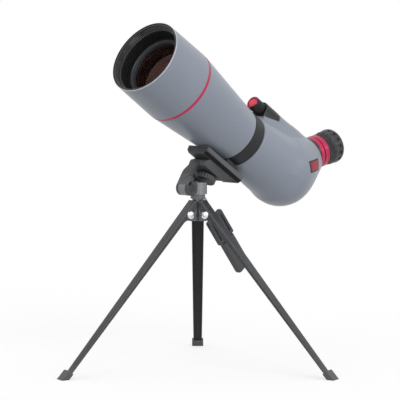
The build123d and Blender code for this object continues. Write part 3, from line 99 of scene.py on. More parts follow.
# Eyepiece
FLANGE_R, FLANGE_START, FLANGE_END = 18.9, -9.4, 2.6
BARREL_R, BARREL_BORE_R, BARREL_END, BARREL_FIT_R, BARREL_SLIP_R = 15.0, 13.0, 34.3, 15.05, 15.06
RED_R, RED_END, RED_EDGE, RED_GROOVE, RED_GROOVE_DEPTH = 18.6, 11.0, -0.8, (5.6, 7.0), 2.2
PARTING, PARTING_DEPTH = 0.4, 0.4
ZOOM_START, ZOOM_END, ZOOM_R, ZOOM_RED_END = 11.2, 22.8, 18.4, 13.6
CUP_START, CUP_END, CUP_R, CUP_RIM_R, CUP_LIP_R = 23.0, 37.3, 19.3, 19.6, 13.2

# Head
KNUCKLE_R, KNUCKLE_HALF, EAR_INNER, EAR_OUTER = 8.0, 5.0, 5.3, 8.3
EAR_SINK_R, EAR_SINK_FLOOR = 4.1, 6.2
WEB_FRONT, WEB_BACK, WEB_NEAR, WEB_FRONT_BEND, WEB_BACK_BEND, WEB_CLIMB = -8.0, -3.0, 3.0, 17.0, 14.5, 5.0
SADDLE_TOP = 11.5
PIN_R, PIN_HOLE_R, PIN_END, PIN_HEAD_R, PIN_HEAD_START, PIN_HEAD_END = 2.5, 2.55, -11.56, 4.0, 6.3, 8.2
NUT_R, NUT_START, NUT_END = 4.62, -11.5, -8.36
DECK_FRONT, DECK_RISE, DECK_TOP, DECK_HALF = -0.5, 28.3, 38.7, 12.0
DECK_NOSE, DECK_NOSE_DROP, DECK_FLAT, DECK_LENGTH = 5.0, 4.4, 34.0, 53.0
PLATE_FRONT, PLATE_LENGTH, PLATE_HALF, PLATE_T, PLATE_BEVEL = -7.8, 64.5, 15.0, 8.8, 3.6
RIBS, RIB_SET, RIB_HALF, RIB_LOW, RIB_PITCH, RIB_T, RIB_INSET = 3, 0.35, 1.5, 0.55, 1.75, 0.75, 0.8
PAD_T, PAD_HALF, PAD_INSET = 0.8, 13.5, 1.5
CLAMP_BACK, CLAMP_R, CLAMP_END, CLAMP_FLOOR, CLAMP_BORE_R = 20.5, 11.0, 8.0, 4.7, 3.15
CLAMP_GAP, CLAMP_NECK, CLAMP_NECK_R = 0.06, 1.5, 4.5
HANDLE_AT, HANDLE_DROP = (22.0, 20.8, -20.0), 18.7
CUFF_HALF, CUFF_R, CUFF_BORE_R, CUFF_FLOOR = 8, 6.5, 3.06, -5.4
BRIDGE_FRONT, BRIDGE_BACK, BRIDGE_LOW, BRIDGE_HIGH, BRIDGE_SET = 15.5, 28.5, 14.3, 36.7, 0.8
ROD_R, ROD_START, ROD_END = 3.0, -5.2, 97.8
BLADE_START, BLADE_END, BLADE_HALF, BLADE_T, BLADE_BORE_R, BLADE_SPINE_R = 52.2, 85.8, 12.7, 5.0, 3.05, 5.4
SLOT_INSET, SLOT_H, SLOT_HALF = 5, 8.2, 1
GRIP_END, GRIP_HALF, GRIP_T, GRIP_CORNER, GRIP_EASE, GRIP_STEPS = 129.8, 10.0, 9.0, 3.4, 3, 8
PAN_LOW, PAN_HIGH, PAN_R, PAN_HOLE_R, PAN_SINK_R, PAN_SINK = 188.5, 201.4, 9.9, 2.56, 5.1, 3.5
TILT_FORWARD, PAN_LUG_END = 17.5, -9.0
BOLT_LOW, BOLT_SEAT, BOLT_TOP, BOLT_R, BOLT_HEAD_R = 174.0, 197.96, 201.0, 2.5, 4.8
BOLT_SINK, BOLT_SINK_R, BOLT_SINK_FLOOR_R = 198.8, 2.4, 2.2
WASHER_R, WASHER_HOLE_R, WASHER_T = 7.4, 2.55, 0.8

# Tripod
HUB_LOW, HUB_TOP, HUB_R, HUB_CAP_R, HUB_CAP_T = 160.0, 187.6, 6.0, 8.0, 4
LEGS = {"right": 14.3, "back": 134.3, "left": 254.3}
FOOT_CIRCLE_R, PIVOT_R, PIVOT_Z, LUG_HALF = 163.4, 12.0, 167.0, 5.2
LEG_ANGLE = atan2(FOOT_CIRCLE_R - PIVOT_R, PIVOT_Z)
LEG_REACH = hypot(FOOT_CIRCLE_R - PIVOT_R, PIVOT_Z)
LEG_TOP, LEG_END, LEG_SHEET = -14.0, LEG_REACH - 6.0, 1.2
LEG_WEB_H, LEG_WEB_FALL, LEG_HALF, LEG_NARROWING, LEG_STRAIGHT = 6.7, 6.5, 6.7, 1.9, 10.0
# Heights of a leg's open edge by station: high at the top, deep at the pivot's ear, shallow below it
LEG_EDGE = {LEG_TOP: 3.35, -3.5: -3.3, 3.5: -3.3, 10.0: 0.7, LEG_END: -2.3}
LEG_EDGE_BLEND, LEG_EDGE_SPOTS = 2.0, 9
EAR_STEP, EAR_STEPS, SHANK_START, SHANK_STEPS = 0.7, 40, 16.0, 24
SCREW_HEAD_R, SCREW_HEAD_H, SCREW_SEAT, SCREW_R = 4.5, 2.4, 6.76, 2.2
CROSS_HALF, CROSS_REACH, CROSS_DEPTH, CROSS_EASE = 0.62, 2.7, 1.1, 0.25
HEAD_RINGS, HEAD_MIDDLE_R = 24, 0.001
FOOT_LENGTH, FOOT_H, FOOT_HALF, FOOT_CLEAR = 10.8, 3.2, 6.4, 0.12


def joint_line(name):
    """A joint's point in millimetres and its axis."""
    found = next(joint for joint in frame["joints"] if joint["name"] == name)
    return Vector(found["pos_m"]) / MM, Vector(found["axis"])


def line_frame(origin, along, up):
    """Placing matrix of a line: X along it, Y up from it, Z aside."""
    along = Vector(along).normalized()
    aside = along.cross(Vector(up)).normalized()
    placed = Matrix((along, aside.cross(along), aside)).transposed().to_4x4()
    placed.translation = origin
    return placed


def moved(placed, along=0.0, up=0.0, aside=0.0, lean=0.0):
    """The line shifted in its own axes, then leaned from X towards Y."""
    return placed @ Matrix.Translation((along, up, aside)) @ turned_by(lean, "Z")


def turned_by(degrees, axis):
    """A turn about one of a line's own axes."""
    return Matrix.Rotation(radians(degrees), 4, axis)


UP = Vector((0, 0, 1))
PAN_AT = joint_line("pan_turn")[0]
PAN_FOOT = Vector((PAN_AT.x, PAN_AT.y, 0))
PAN = line_frame(PAN_FOOT, UP, (1, 0, 0))
TILT = line_frame(joint_line("tilt_turn")[0], joint_line("scope_turn")[1], UP)
SIDE = TILT @ turned_by(-90, "Y")
SCOPE = moved(line_frame(*joint_line("scope_turn"), UP), -COLLAR_MID)
FOCUS = moved(SCOPE, 0, RIDGE_H)
EYE = moved(moved(SCOPE, FOLD_STATION, lean=EYE_LEAN), EYE_REACH)
HANDLE = moved(TILT, *HANDLE_AT, lean=-HANDLE_DROP)
CLAMP = moved(TILT, CLAMP_BACK, DECK_RISE - CLAMP_GAP, lean=-90)
LOCK = line_frame(*joint_line("collar_lock_turn"), UP)
PLATE_LINE = moved(TILT, PLATE_FRONT, DECK_TOP)


def full_turn(count):
    """Even angles once round."""
    return [2 * pi * step / count for step in range(count)]


def eased(points, steps=4):
    """Rounds each corner (x, y, setback, weight) of a closed outline with a short curve."""
    soft = []
    for index, point in enumerate(points):
        setback = point[2] if len(point) > 2 else 0
        weight = point[3] if len(point) > 3 else 0
        here = Vector(point[:2])
        if not setback:
            soft.append((here.x, here.y, weight))
            continue
        back = Vector(points[index - 1][:2]) - here
        ahead = Vector(points[(index + 1) % len(points)][:2]) - here
        start = here + back.normalized() * min(setback, 0.48 * back.length)
        end = here + ahead.normalized() * min(setback, 0.48 * ahead.length)
        for step in range(steps + 1):
            t = step / steps
            bend = start * (1 - t) ** 2 + here * 2 * t * (1 - t) + end * t**2
            soft.append((bend.x, bend.y, weight))
    return soft


def oblong(x_low, x_high, y_low, y_high, setback=0):
    """Corners of a rectangle, each rounded by the setback."""
    return [(x, y, setback) for x, y in ((x_low, y_low), (x_high, y_low), (x_high, y_high), (x_low, y_high))]


def circle(radius, count=64):
    """Points of a circle in a plate's own X and Y."""
    return [(radius * cos(angle), radius * sin(angle)) for angle in full_turn(count)]


def stepped(corner, *moves):
    """Square-stepped outline from a first corner; its second and first value change in turn, maybe with a setback."""
    corners = [corner]
    for index, move in enumerate(moves):
        value, *soft = move if isinstance(move, tuple) else (move,)
        station, radius = corners[-1][:2]
        corners.append((value, radius, *soft) if index % 2 else (station, value, *soft))
    return corners


def turn(placed, profile, steps, form=None, onto=None):
    """A closed profile of (station, radius, setback, weight) turned about a line; a form acts by weight."""
    bm = onto or bmesh.new()
    rings = []
    for station, radius, weight in eased(profile):
        if radius < 1e-6:
            rings.append([bm.verts.new(placed @ Vector((station, 0, 0)) * MM)] * steps)
            continue
        ring = []
        for angle in full_turn(steps):
            r = form(angle, station, radius) * weight + radius * (1 - weight) if form else radius
            ring.append(bm.verts.new(placed @ Vector((station, r * cos(angle), r * sin(angle))) * MM))
        rings.append(ring)
    for ring, after in zip(rings, rings[1:] + rings[:1]):
        for step in range(steps):
            beside = (step + 1) % steps
            corners = list(dict.fromkeys([ring[step], after[step], after[beside], ring[beside]]))
            if len(corners) > 2:
                bm.faces.new(corners)
    return bm


def fluted(count, depth, power):
    """Turning form with grooves along the line; a higher power makes them narrower."""
    return lambda angle, station, radius: radius - depth * (0.5 - 0.5 * cos(count * angle)) ** power


def plate(placed, loops, low, high, edge, onto=None):
    """A flat piece cut to loops of X, Y and setback, between two asides, with its edges rounded."""
    bm = onto or bmesh.new()
    outline = bpy.data.curves.new("outline", "CURVE")
    outline.dimensions, outline.fill_mode = "2D", "BOTH"
    outline.extrude, outline.bevel_depth = (high - low) / 2 - edge, edge
    outline.bevel_resolution, outline.offset = 2, -edge
    for loop in loops:
        spline = outline.splines.new("POLY")
        corners = eased(loop)
        spline.points.add(len(corners) - 1)
        for point, (x, y, _) in zip(spline.points, corners):
            point.co = (x, y, 0, 1)
        spline.use_cyclic_u = True
    holder = bpy.data.objects.new("outline", outline)
    cut = bpy.data.meshes.new_from_object(holder)
    cut.transform(Matrix.Scale(MM, 4) @ moved(placed, aside=(low + high) / 2))
    bm.from_mesh(cut)
    bpy.data.objects.remove(holder)
    bpy.data.curves.remove(outline)
    bpy.data.meshes.remove(cut)
    return bm


def skin(rings, capped=True, onto=None):
    """A skin over closed rings of points in millimetres, with its end rings filled."""
    bm = onto or bmesh.new()
    made = [[bm.verts.new(Vector(point) * MM) for point in ring] for ring in rings]
    for ring, after in zip(made, made[1:]):
        for index in range(len(ring)):
            bm.faces.new((ring[index - 1], after[index - 1], after[index], ring[index]))
    if capped:
        bm.faces.new(made[0])
        bm.faces.new(made[-1])
    return bm


def added(name, data):
    """An object made of the data and put in the scene."""
    made = bpy.data.objects.new(name, data)
    bpy.context.scene.collection.objects.link(made)
    return made


def piece(name, bm, body, coat, slot, *nodes):
    """Makes the mesh an object that rides a body and stands for CAD nodes."""
    bmesh.ops.remove_doubles(bm, verts=bm.verts, dist=2e-7)
    bmesh.ops.recalc_face_normals(bm, faces=bm.faces)
    for face in bm.faces:
        face.smooth = True
    for edge in bm.edges:
        edge.smooth = not (edge.is_manifold and edge.calc_face_angle() > SHARP)
    mesh = bpy.data.meshes.new(name)
    bm.to_mesh(mesh)
    bm.free()
    mesh.materials.append(coat)
    made = added(name, mesh)
    normals = made.modifiers.new("even_normals", "WEIGHTED_NORMAL")
    normals.keep_sharp = True
    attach(made, body)
    if nodes:
        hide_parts(*nodes)
    return made


def refinish(made, coat, placed, chosen):
    """Gives another coat to the faces chosen by their station, height, aside and radius on a line."""
    made.data.materials.append(coat)
    to_line = placed.inverted()
    for face in made.data.polygons:
        at = to_line @ (face.center / MM)
        if chosen(*at, hypot(at.y, at.z)):
            face.material_index = len(made.data.materials) - 1


# Finishes: soft clouds stir a fine grain, which moves a surface between two tones and two roughnesses and dents it

CLOUD_MM, GRAIN_SHARE = 45.0, 0.7
TONE_SPAN, GLOSS_SPAN, EDGE_SPAN = (0.32, 0.68), (0.3, 0.7), (0.51, 0.60)


def colour(code):
    """An sRGB hex colour as linear RGBA."""
    shares = [int(code[i : i + 2], 16) / 255 for i in (1, 3, 5)]
    return (*[s / 12.92 if s <= 0.04045 else ((s + 0.055) / 1.055) ** 2.4 for s in shares], 1.0)


def bare_tree(owner):
    """The emptied shader tree of a material or the world."""
    owner.use_nodes = True
    owner.node_tree.nodes.clear()
    return owner.node_tree


def put(tree, kind, settings=None, links=None):
    """Adds a node, sets its properties and sockets, and links its inputs."""
    node = tree.nodes.new(kind)
    for key, value in (settings or {}).items():
        if isinstance(key, str) and hasattr(node, key):
            setattr(node, key, value)
        else:
            node.inputs[key].default_value = value
    for key, source in (links or {}).items():
        tree.links.new(source, node.inputs[key])
    return node


def finish(name, tones, grain_mm, rough, bump_mm, sockets, edge_wear_and_highlight=None):
    """A procedural surface; its last argument is the paler tone that its sharp edges are painted to, as wear and as
    painted edge highlight, and how far.
    """
    made = bpy.data.materials.new(name)
    tree = bare_tree(made)
    place = put(tree, "ShaderNodeTexCoord").outputs["Object"]
    fine = {"Scale": 1 / (grain_mm * MM), "Detail": 3.0, "Roughness": 0.6}
    broad = {"Scale": 1 / (CLOUD_MM * MM), "Detail": 2.0}
    noises = [put(tree, "ShaderNodeTexNoise", noise, {"Vector": place}) for noise in (fine, broad)]
    grain, cloud = (noise.outputs["Fac"] for noise in noises)
    share = put(tree, "ShaderNodeMath", {"operation": "MULTIPLY", 1: GRAIN_SHARE}, {0: grain}).outputs[0]
    sums = {"operation": "MULTIPLY_ADD", 1: 1 - GRAIN_SHARE}
    spread = put(tree, "ShaderNodeMath", sums, {0: cloud, 2: share}).outputs[0]
    ramp = put(tree, "ShaderNodeValToRGB", None, {"Fac": spread})
    for stop, position, tone in zip(ramp.color_ramp.elements, TONE_SPAN, tones):
        stop.position, stop.color = position, colour(tone)
    tint = ramp.outputs["Color"]
    # Sharp edges are painted paler: partly wear, partly painted edge highlight.
    if edge_wear_and_highlight:
        relief = put(tree, "ShaderNodeNewGeometry").outputs["Pointiness"]
        rise = {"From Min": EDGE_SPAN[0], "From Max": EDGE_SPAN[1], "To Max": edge_wear_and_highlight[1]}
        edge = put(tree, "ShaderNodeMapRange", rise, {"Value": relief}).outputs["Result"]
        # Sockets 6 and 7 are the mix's two colours, and output 2 is the mixed one
        tint = put(tree, "ShaderNodeMix", {"data_type": "RGBA", 7: colour(edge_wear_and_highlight[0])}, {0: edge, 6: tint}).outputs[2]
    span = {"From Min": GLOSS_SPAN[0], "From Max": GLOSS_SPAN[1], "To Min": rough[0], "To Max": rough[1]}
    gloss = put(tree, "ShaderNodeMapRange", span, {"Value": spread}).outputs["Result"]
    bump = put(tree, "ShaderNodeBump", {"Strength": 1.0, "Distance": bump_mm * MM}, {"Height": grain})
    links = {"Base Color": tint, "Roughness": gloss, "Normal": bump.outputs["Normal"]}
    surface = put(tree, "ShaderNodeBsdfPrincipled", sockets, links).outputs["BSDF"]
    put(tree, "ShaderNodeOutputMaterial", None, {"Surface": surface})
    return made


# Sprayed satin enamel on cast alloy: slate grey, very slight orange peel, broad soft highlights.
slate_enamel = finish(
    "slate_satin_enamel_sprayed", ("#838A97", "#8B929F"), 1.6, (0.34, 0.42), 0.006,
    {"IOR": 1.5, "Coat Weight": 0.15, "Coat Roughness": 0.25},
)
# The same enamel painted paler and smoother at the hood's front rim: a painted highlight along the rim's edge.
rim_highlight_enamel = finish(
    "slate_enamel_painted_rim_highlight", ("#B4BAC4", "#C6CBD2"), 1.6, (0.24, 0.32), 0.003,
    {"IOR": 1.5, "Coat Weight": 0.15, "Coat Roughness": 0.2},
)
# Dyed anodised aluminium ring: crimson with a metal sheen and a fine even grain.
crimson = finish(
    "crimson_anodised_aluminium_turned", ("#B01646", "#C82458"), 0.5, (0.26, 0.36), 0.004,
    {"Metallic": 0.35, "Coat Weight": 0.1, "Coat Roughness": 0.2},
)
# Dyed acrylic lacquer on the focus cap: brighter red, glossy.
cap_red = finish(
    "bright_red_lacquered_aluminium", ("#E02138", "#F23A4C"), 0.8, (0.2, 0.3), 0.004,
    {"Metallic": 0.15, "Coat Weight": 0.5, "Coat Roughness": 0.12},
)
# Black anodised aluminium, turned: near black, its edges painted paler as wear and as a painted glint.
black_anodised = finish(
    "black_anodised_aluminium_turned", ("#0E0F10", "#161719"), 0.4, (0.15, 0.24), 0.004,
    {"Metallic": 0.2}, edge_wear_and_highlight=("#6A6B6E", 0.5),
)
# Flocked paint inside the tube: brown-black, no shine.
flock_black = finish("flocked_black_paint", ("#15100F", "#1E1716"), 0.6, (0.9, 1.0), 0.05, {"Specular IOR Level": 0.1})
# Bead-blasted dark anodised aluminium of the retaining ring: even mid-dark satin grey.
satin_ring = finish(
    "dark_anodised_aluminium_blasted", ("#44484A", "#52565A"), 0.5, (0.3, 0.4), 0.006, {"Metallic": 0.45}
)
# Dull black paint baked on the lens barrel: deep black that swallows stray light. On the plate's dovetail flanks it is
# painted shade, and on the hood rim's inner bevel it is partly painted shade.
dull_black = finish(
    "dull_black_baked_paint", ("#08080A", "#0D0D10"), 0.6, (0.6, 0.72), 0.01,
    {"Specular IOR Level": 0.22},
)
# Moulded ABS with a spark-eroded texture: charcoal, soft sheen, edges painted lighter as wear and as painted edge
# highlight.
charcoal_abs = finish(
    "charcoal_abs_spark_textured", ("#17181A", "#202123"), 0.7, (0.42, 0.55), 0.035,
    {"IOR": 1.53, "Specular IOR Level": 0.28}, edge_wear_and_highlight=("#5C5D60", 0.45),
)
# Satin black ABS of the focus drive and zoom ring: darker and finer than the collar.
black_abs = finish(
    "black_abs_satin_moulded", ("#121315", "#191A1C"), 0.6, (0.4, 0.5), 0.02,
    {"IOR": 1.53, "Specular IOR Level": 0.35}, edge_wear_and_highlight=("#505154", 0.4),
)
# Glass-filled nylon of the head: a little greyer than the ABS, matt and grainy.
head_nylon = finish(
    "glass_filled_nylon_moulded", ("#28292B", "#343537"), 0.8, (0.48, 0.6), 0.04,
    {"IOR": 1.53}, edge_wear_and_highlight=("#7A7B7D", 0.4),
)
# Moulded nitrile rubber: dark grey with a faint bloom, edges painted paler as wear and as painted edge highlight.
black_rubber = finish(
    "nitrile_rubber_moulded", ("#444546", "#525354"), 1.0, (0.6, 0.75), 0.03,
    {"IOR": 1.5, "Sheen Weight": 0.1}, edge_wear_and_highlight=("#77787A", 0.35),
)
# Silicone rubber of the eyecup, moulded against a polished die: charcoal with satin glints on its bumps, whose edges
# are painted paler as wear and as painted highlight.
cup_rubber = finish(
    "silicone_rubber_satin_moulded", ("#242528", "#303134"), 1.0, (0.28, 0.38), 0.02,
    {"IOR": 1.45}, edge_wear_and_highlight=("#8A8B8D", 0.4),
)
# Hammer-finish powder coat on pressed steel: charcoal flecked with grey; flecks drawn coarse enough to show.
hammer_coat = finish(
    "hammer_powder_coat_on_steel", ("#060708", "#434448"), 1.7, (0.38, 0.54), 0.07,
    {"IOR": 1.5, "Metallic": 0.15}, edge_wear_and_highlight=("#8C8D8F", 0.4),
)
# Painted shade inside the legs' channels: the open channel's inner faces painted flat and dark.
leg_inside_shade = finish(
    "painted_shade_inside_leg_channel", ("#222223", "#2C2C2D"), 1.5, (0.55, 0.7), 0.02, {"Specular IOR Level": 0.3}
)
# Die-cast zinc with dark plating: satin grey with a soft sheen.
dark_zinc = finish(
    "dark_plated_zinc_die_cast", ("#76777A", "#848588"), 0.9, (0.34, 0.45), 0.01,
    {"Metallic": 0.55}, edge_wear_and_highlight=("#8A8B8D", 0.4),
)
# Black nickel on the polished cast hub: dark and glossy, with long clear highlights.
black_nickel = finish(
    "black_nickel_on_polished_casting", ("#58595C", "#6A6B6E"), 2.0, (0.16, 0.24), 0.008,
    {"Metallic": 0.6}, edge_wear_and_highlight=("#8A8B8D", 0.4),
)
# Bright nickel-plated steel screws: mirror-like with fine polishing marks.
bright_nickel = finish(
    "nickel_plated_steel_polished", ("#D2D3D4", "#E2E3E4"), 0.5, (0.2, 0.32), 0.004,
    {"Metallic": 1.0},
)
# Plain turned steel: grey metal with a fine grain of tool marks.
turned_steel = finish("mild_steel_turned", ("#8E9092", "#A8AAAC"), 0.4, (0.3, 0.42), 0.008, {"Metallic": 1.0})
# Steel pin blackened in hot salts: near the nylon round it in tone, with a dry satin glint.
blacked_steel = finish("steel_turned_black_oxide", ("#2C2D2F", "#38393B"), 0.4, (0.42, 0.54), 0.008, {"Metallic": 0.3})
# Turned free-cutting brass: warm yellow metal.
turned_brass = finish("brass_turned", ("#B58F45", "#C9A45A"), 0.4, (0.26, 0.38), 0.008, {"Metallic": 1.0})
# Red enamel field of the badge, baked into its black frame.
badge_enamel = finish(
    "red_baked_enamel", ("#8A1C29", "#B0323F"), 0.9, (0.45, 0.58), 0.02, {"Specular IOR Level": 0.35}
)
# Crown glass with a ruby anti-reflection coat: thin enough that light goes straight through, which alpha gives, while
# its base colour paints in a dim red-brown as a painted reflection of the coat.
ruby_glass = finish(
    "crown_glass_ruby_coated", ("#0B0908", "#34241F"), 16.0, (0.05, 0.07), 0.0,
    {"Alpha": 0.6, "IOR": 1.52, "Specular Tint": colour("#FF8A78")},
)
# Polished flint and prism glass inside, coated on every face: clear, with hardly a glint.
clear_glass = finish(
    "flint_glass_polished", ("#060707", "#0A0B0B"), 6.0, (0.04, 0.06), 0.0, {"Alpha": 0.08, "IOR": 1.6}
)

# Scope: hood, trim ring, tube and what shows in its mouth

hood = [
    (RIM_BEVEL, HOOD_BORE_R), (0, HOOD_BORE_R + RIM_BEVEL, 0.1), (0, RIM_R, 0.8), (TRIM_START, SHOULDER_R, 0.2),
    (TRIM_START, TRIM_SEAT_R), (HOOD_END, TRIM_SEAT_R), (HOOD_END, HOOD_BORE_R),
]
hood_shell = piece("hood_shell", turn(SCOPE, hood, WIDE), "scope", slate_enamel, "grey_paint", "objective_hood")
# The rim's front edge gets the paler enamel as a painted highlight.
refinish(hood_shell, rim_highlight_enamel, SCOPE, lambda s, h, x, r: s < RIM_HIGHLIGHT_END)
# The hood's bore and the rim's inner bevel are painted dull black: the black inside of the hood, and on the bevel also
# a painted shade for the dark gap inside the rim.
refinish(hood_shell, dull_black, SCOPE, lambda s, h, x, r: r < HOOD_BORE_R + RIM_BEVEL)

trim = stepped(
    (HOOD_END, HOOD_BORE_R), TRIM_FOOT_R, TRIM_START, (TRIM_R, 0.2), (TRIM_END, 0.2), TRIM_FOOT_R, TUBE_START,
    HOOD_BORE_R,
)
piece("trim_band", turn(SCOPE, trim, WIDE), "scope", crimson, "red_anodised", "trim_ring")


def tube_r(station):
    """Outer radius of the tapered tube."""
    return SHOULDER_R + (TUBE_END_R - SHOULDER_R) * (station - TUBE_START) / (TUBE_END - TUBE_START)


tube = [
    (SPIGOT_START, SPIGOT_BORE_R), (SPIGOT_START, SPIGOT_R), (TUBE_START, SPIGOT_R), (TUBE_START, TRIM_SEAT_R),
    (TRIM_END, TRIM_SEAT_R), (TRIM_END, tube_r(TRIM_END), 0.2), (TUBE_END, TUBE_END_R, 1.2), (TUBE_END, SLEEVE_SEAT_R),
    (BULKHEAD, SLEEVE_SEAT_R), (BULKHEAD, tube_r(BULKHEAD) - TUBE_T), (TAPER_START, tube_r(TAPER_START) - TUBE_T),
    (SPIGOT_END, SPIGOT_BORE_R),
]
piece("tube_shell", turn(SCOPE, tube, WIDE), "scope", slate_enamel, "grey_paint", "main_tube")

lining = [
    (LINING_START, LINING_START_R), (LINING_START, LINING_START_R + LINING_T),
    (LINING_WIDEST, LINING_WIDEST_R + LINING_T), (BULKHEAD - LINING_T, LINING_END_R + LINING_T),
    (BULKHEAD - LINING_T, LINING_END_R), (LINING_WIDEST, LINING_WIDEST_R),
]
for stop in STOPS:
    share = (stop - LINING_START) / (LINING_WIDEST - LINING_START)
    wall = LINING_START_R + (LINING_WIDEST_R - LINING_START_R) * share
    lining += [(stop + STOP_FOOT, wall), (stop + STOP_TIP, wall - STOP_H)]
    lining += [(stop - STOP_TIP, wall - STOP_H), (stop - STOP_FOOT, wall)]
piece("tube_flocking", turn(SCOPE, lining, EVEN), "scope", flock_black, "black_plastic")


def threaded(angle, station, radius):
    """Inside thread: a round groove that winds along the line."""
    return radius + THREAD_DEPTH * (0.5 - 0.5 * cos(2 * pi * station / THREAD_PITCH - angle))


thread = [(THREAD_START, SPIGOT_R), (THREAD_START, THREAD_BORE_R, 0.2)]
thread_steps = int((THREAD_END - THREAD_START) / THREAD_PITCH * THREAD_STEPS)
for step in range(THREAD_RUN_OUT, thread_steps - THREAD_RUN_OUT + 1):
    thread.append((THREAD_START + (THREAD_END - THREAD_START) * step / thread_steps, THREAD_BORE_R, 0, 1))
thread += [(THREAD_END, THREAD_BORE_R), (THREAD_END, SPIGOT_R)]
piece("front_thread", turn(SCOPE, thread, WIDE, threaded), "scope", black_anodised, "black_plastic", "thread_ring")

cell = [
    (THREAD_END, CELL_MOUTH_R, 0.4), (THREAD_END, SPIGOT_R), (CELL_BACK, SPIGOT_R), (CELL_BACK, CELL_BORE_R + CELL_T),
    (LENS_REAR + CELL_T, CELL_BORE_R + CELL_T), (LENS_REAR + CELL_T, CELL_SEAT_R), (LENS_REAR, CELL_SEAT_R),
    (LENS_REAR, CELL_BORE_R), (CELL_FLOOR, CELL_BORE_R, 0.2), (CELL_FLOOR, FLOOR_RING_R, 0.2),
    (CELL_FLOOR - FLOOR_RING_H, FLOOR_RING_FOOT_R, 0.2), (CELL_FLOOR - FLOOR_RING_H, CELL_MOUTH_R, 0.3),
]
for groove in range(GROOVES):
    back = CELL_FLOOR - GROOVE_BACK - GROOVE_PITCH * groove
    cell += [(back, CELL_MOUTH_R), (back - GROOVE_HALF, CELL_MOUTH_R + GROOVE_DEPTH)]
    cell += [(back - 2 * GROOVE_HALF, CELL_MOUTH_R)]
lens_cell = piece("lens_cell", turn(SCOPE, cell, WIDE), "scope", dull_black, "black_plastic", "objective_cell")
refinish(
    lens_cell, satin_ring, SCOPE,
    lambda s, h, x, r: abs(s - CELL_FLOOR) < 0.5 and CELL_BORE_R < r < FLOOR_RING_FOOT_R - 0.1,
)

lip = [
    (THREAD_END - LIP_PROUD, CELL_MOUTH_R + LIP_PROUD, 0.5), (THREAD_END - LIP_PROUD, THREAD_BORE_R + 0.3),
    (THREAD_END + LIP_LENGTH, THREAD_BORE_R), (THREAD_END + LIP_LENGTH, CELL_MOUTH_R - 0.05, 0.2),
]
piece("cell_mouth_lip", turn(SCOPE, lip, WIDE), "scope", black_nickel, "black_plastic")


def notched(angle, station, radius):
    """Two spanner notches in the retaining ring's bore."""
    away = min(abs(remainder(angle - at, 2 * pi)) for at in (NOTCH_TURN, NOTCH_TURN + pi))
    return radius + (NOTCH_DEPTH if away * radius < NOTCH_HALF else 0)


ring = stepped(
    (RING_FACE, LENS_OPEN_R + RING_BEVEL, 0.2, 1), (LENS_R, 0.2), LENS_FRONT, LENS_OPEN_R, (RING_SLOT_END, 0),
    (LENS_OPEN_R, 0, 1),
)
piece("lens_ring", turn(SCOPE, ring, FINE, notched), "scope", satin_ring, "black_plastic", "lens_retainer")


def dish(apex, rim, count=18):
    """Profile points of a lens face from its middle out to its rim."""
    sag = rim - apex
    curve = (LENS_OPEN_R**2 + sag**2) / (2 * sag)
    spots = [LENS_OPEN_R * step / count for step in range(count + 1)]
    return [(apex + curve - copysign(sqrt(curve**2 - r**2), curve), r) for r in spots]


lens_back = LENS_SPLIT - LENS_GAP
lens = dish(LENS_FRONT - LENS_BULGE, LENS_FRONT) + [(LENS_FRONT, LENS_R), (lens_back, LENS_R)]
lens += dish(lens_back - LENS_HOLLOW, lens_back)[::-1]
piece("objective_glass", turn(SCOPE, lens, MIDDLE), "scope", ruby_glass, "coated_glass", "objective_front")

# Collar with its foot, and the lock knob on the far side

collar = stepped((COLLAR_START, COLLAR_BORE_R, 0.3), (COLLAR_R, 0.8), (COLLAR_END, 0.8), (COLLAR_BORE_R, 0.3))
foot = stepped(
    (COLLAR_START, COLLAR_SOLE, 0.4), COLLAR_FOOT_TOP, COLLAR_END, (COLLAR_SOLE + COLLAR_TAIL_T, 1.4),
    (COLLAR_END + COLLAR_TAIL, 0.7), (COLLAR_SOLE, 0.4),
)
boss = stepped((BOSS_START, BOSS_BORE_R), BOSS_R, (BOSS_END, 0.6), BOSS_BORE_R)
shape = turn(SCOPE, collar, BAND)
plate(SCOPE, [foot], -COLLAR_FOOT_HALF, COLLAR_FOOT_HALF, 0.7, onto=shape)
turn(LOCK, boss, THIN, onto=shape)
piece("collar_band", shape, "tilt", charcoal_abs, "black_plastic", "collar")

lock = [
    (LOCK_TIP, 0), (LOCK_TIP, LOCK_STEM_R), (LOCK_START, LOCK_STEM_R), (LOCK_START, LOCK_R - 0.6, 0.3),
    (LOCK_START + 0.9, LOCK_R, 0.5, 1), (LOCK_END - 1.1, LOCK_R, 0.8, 1), (LOCK_END, LOCK_R - 1.4, 0.5),
    (LOCK_END - 0.6, LOCK_R - 2.4, 0.4), (LOCK_END - 0.6, 0),
]
piece(
    "collar_lock_knob", turn(LOCK, lock, EVEN, fluted(12, 1.2, 2.0)),
    "collar_lock", charcoal_abs, "black_plastic", "collar_lock",
)

# Prism housing: rays cast from a curved spine find its form, in which neck, bulb, cone and focus ridge flow together

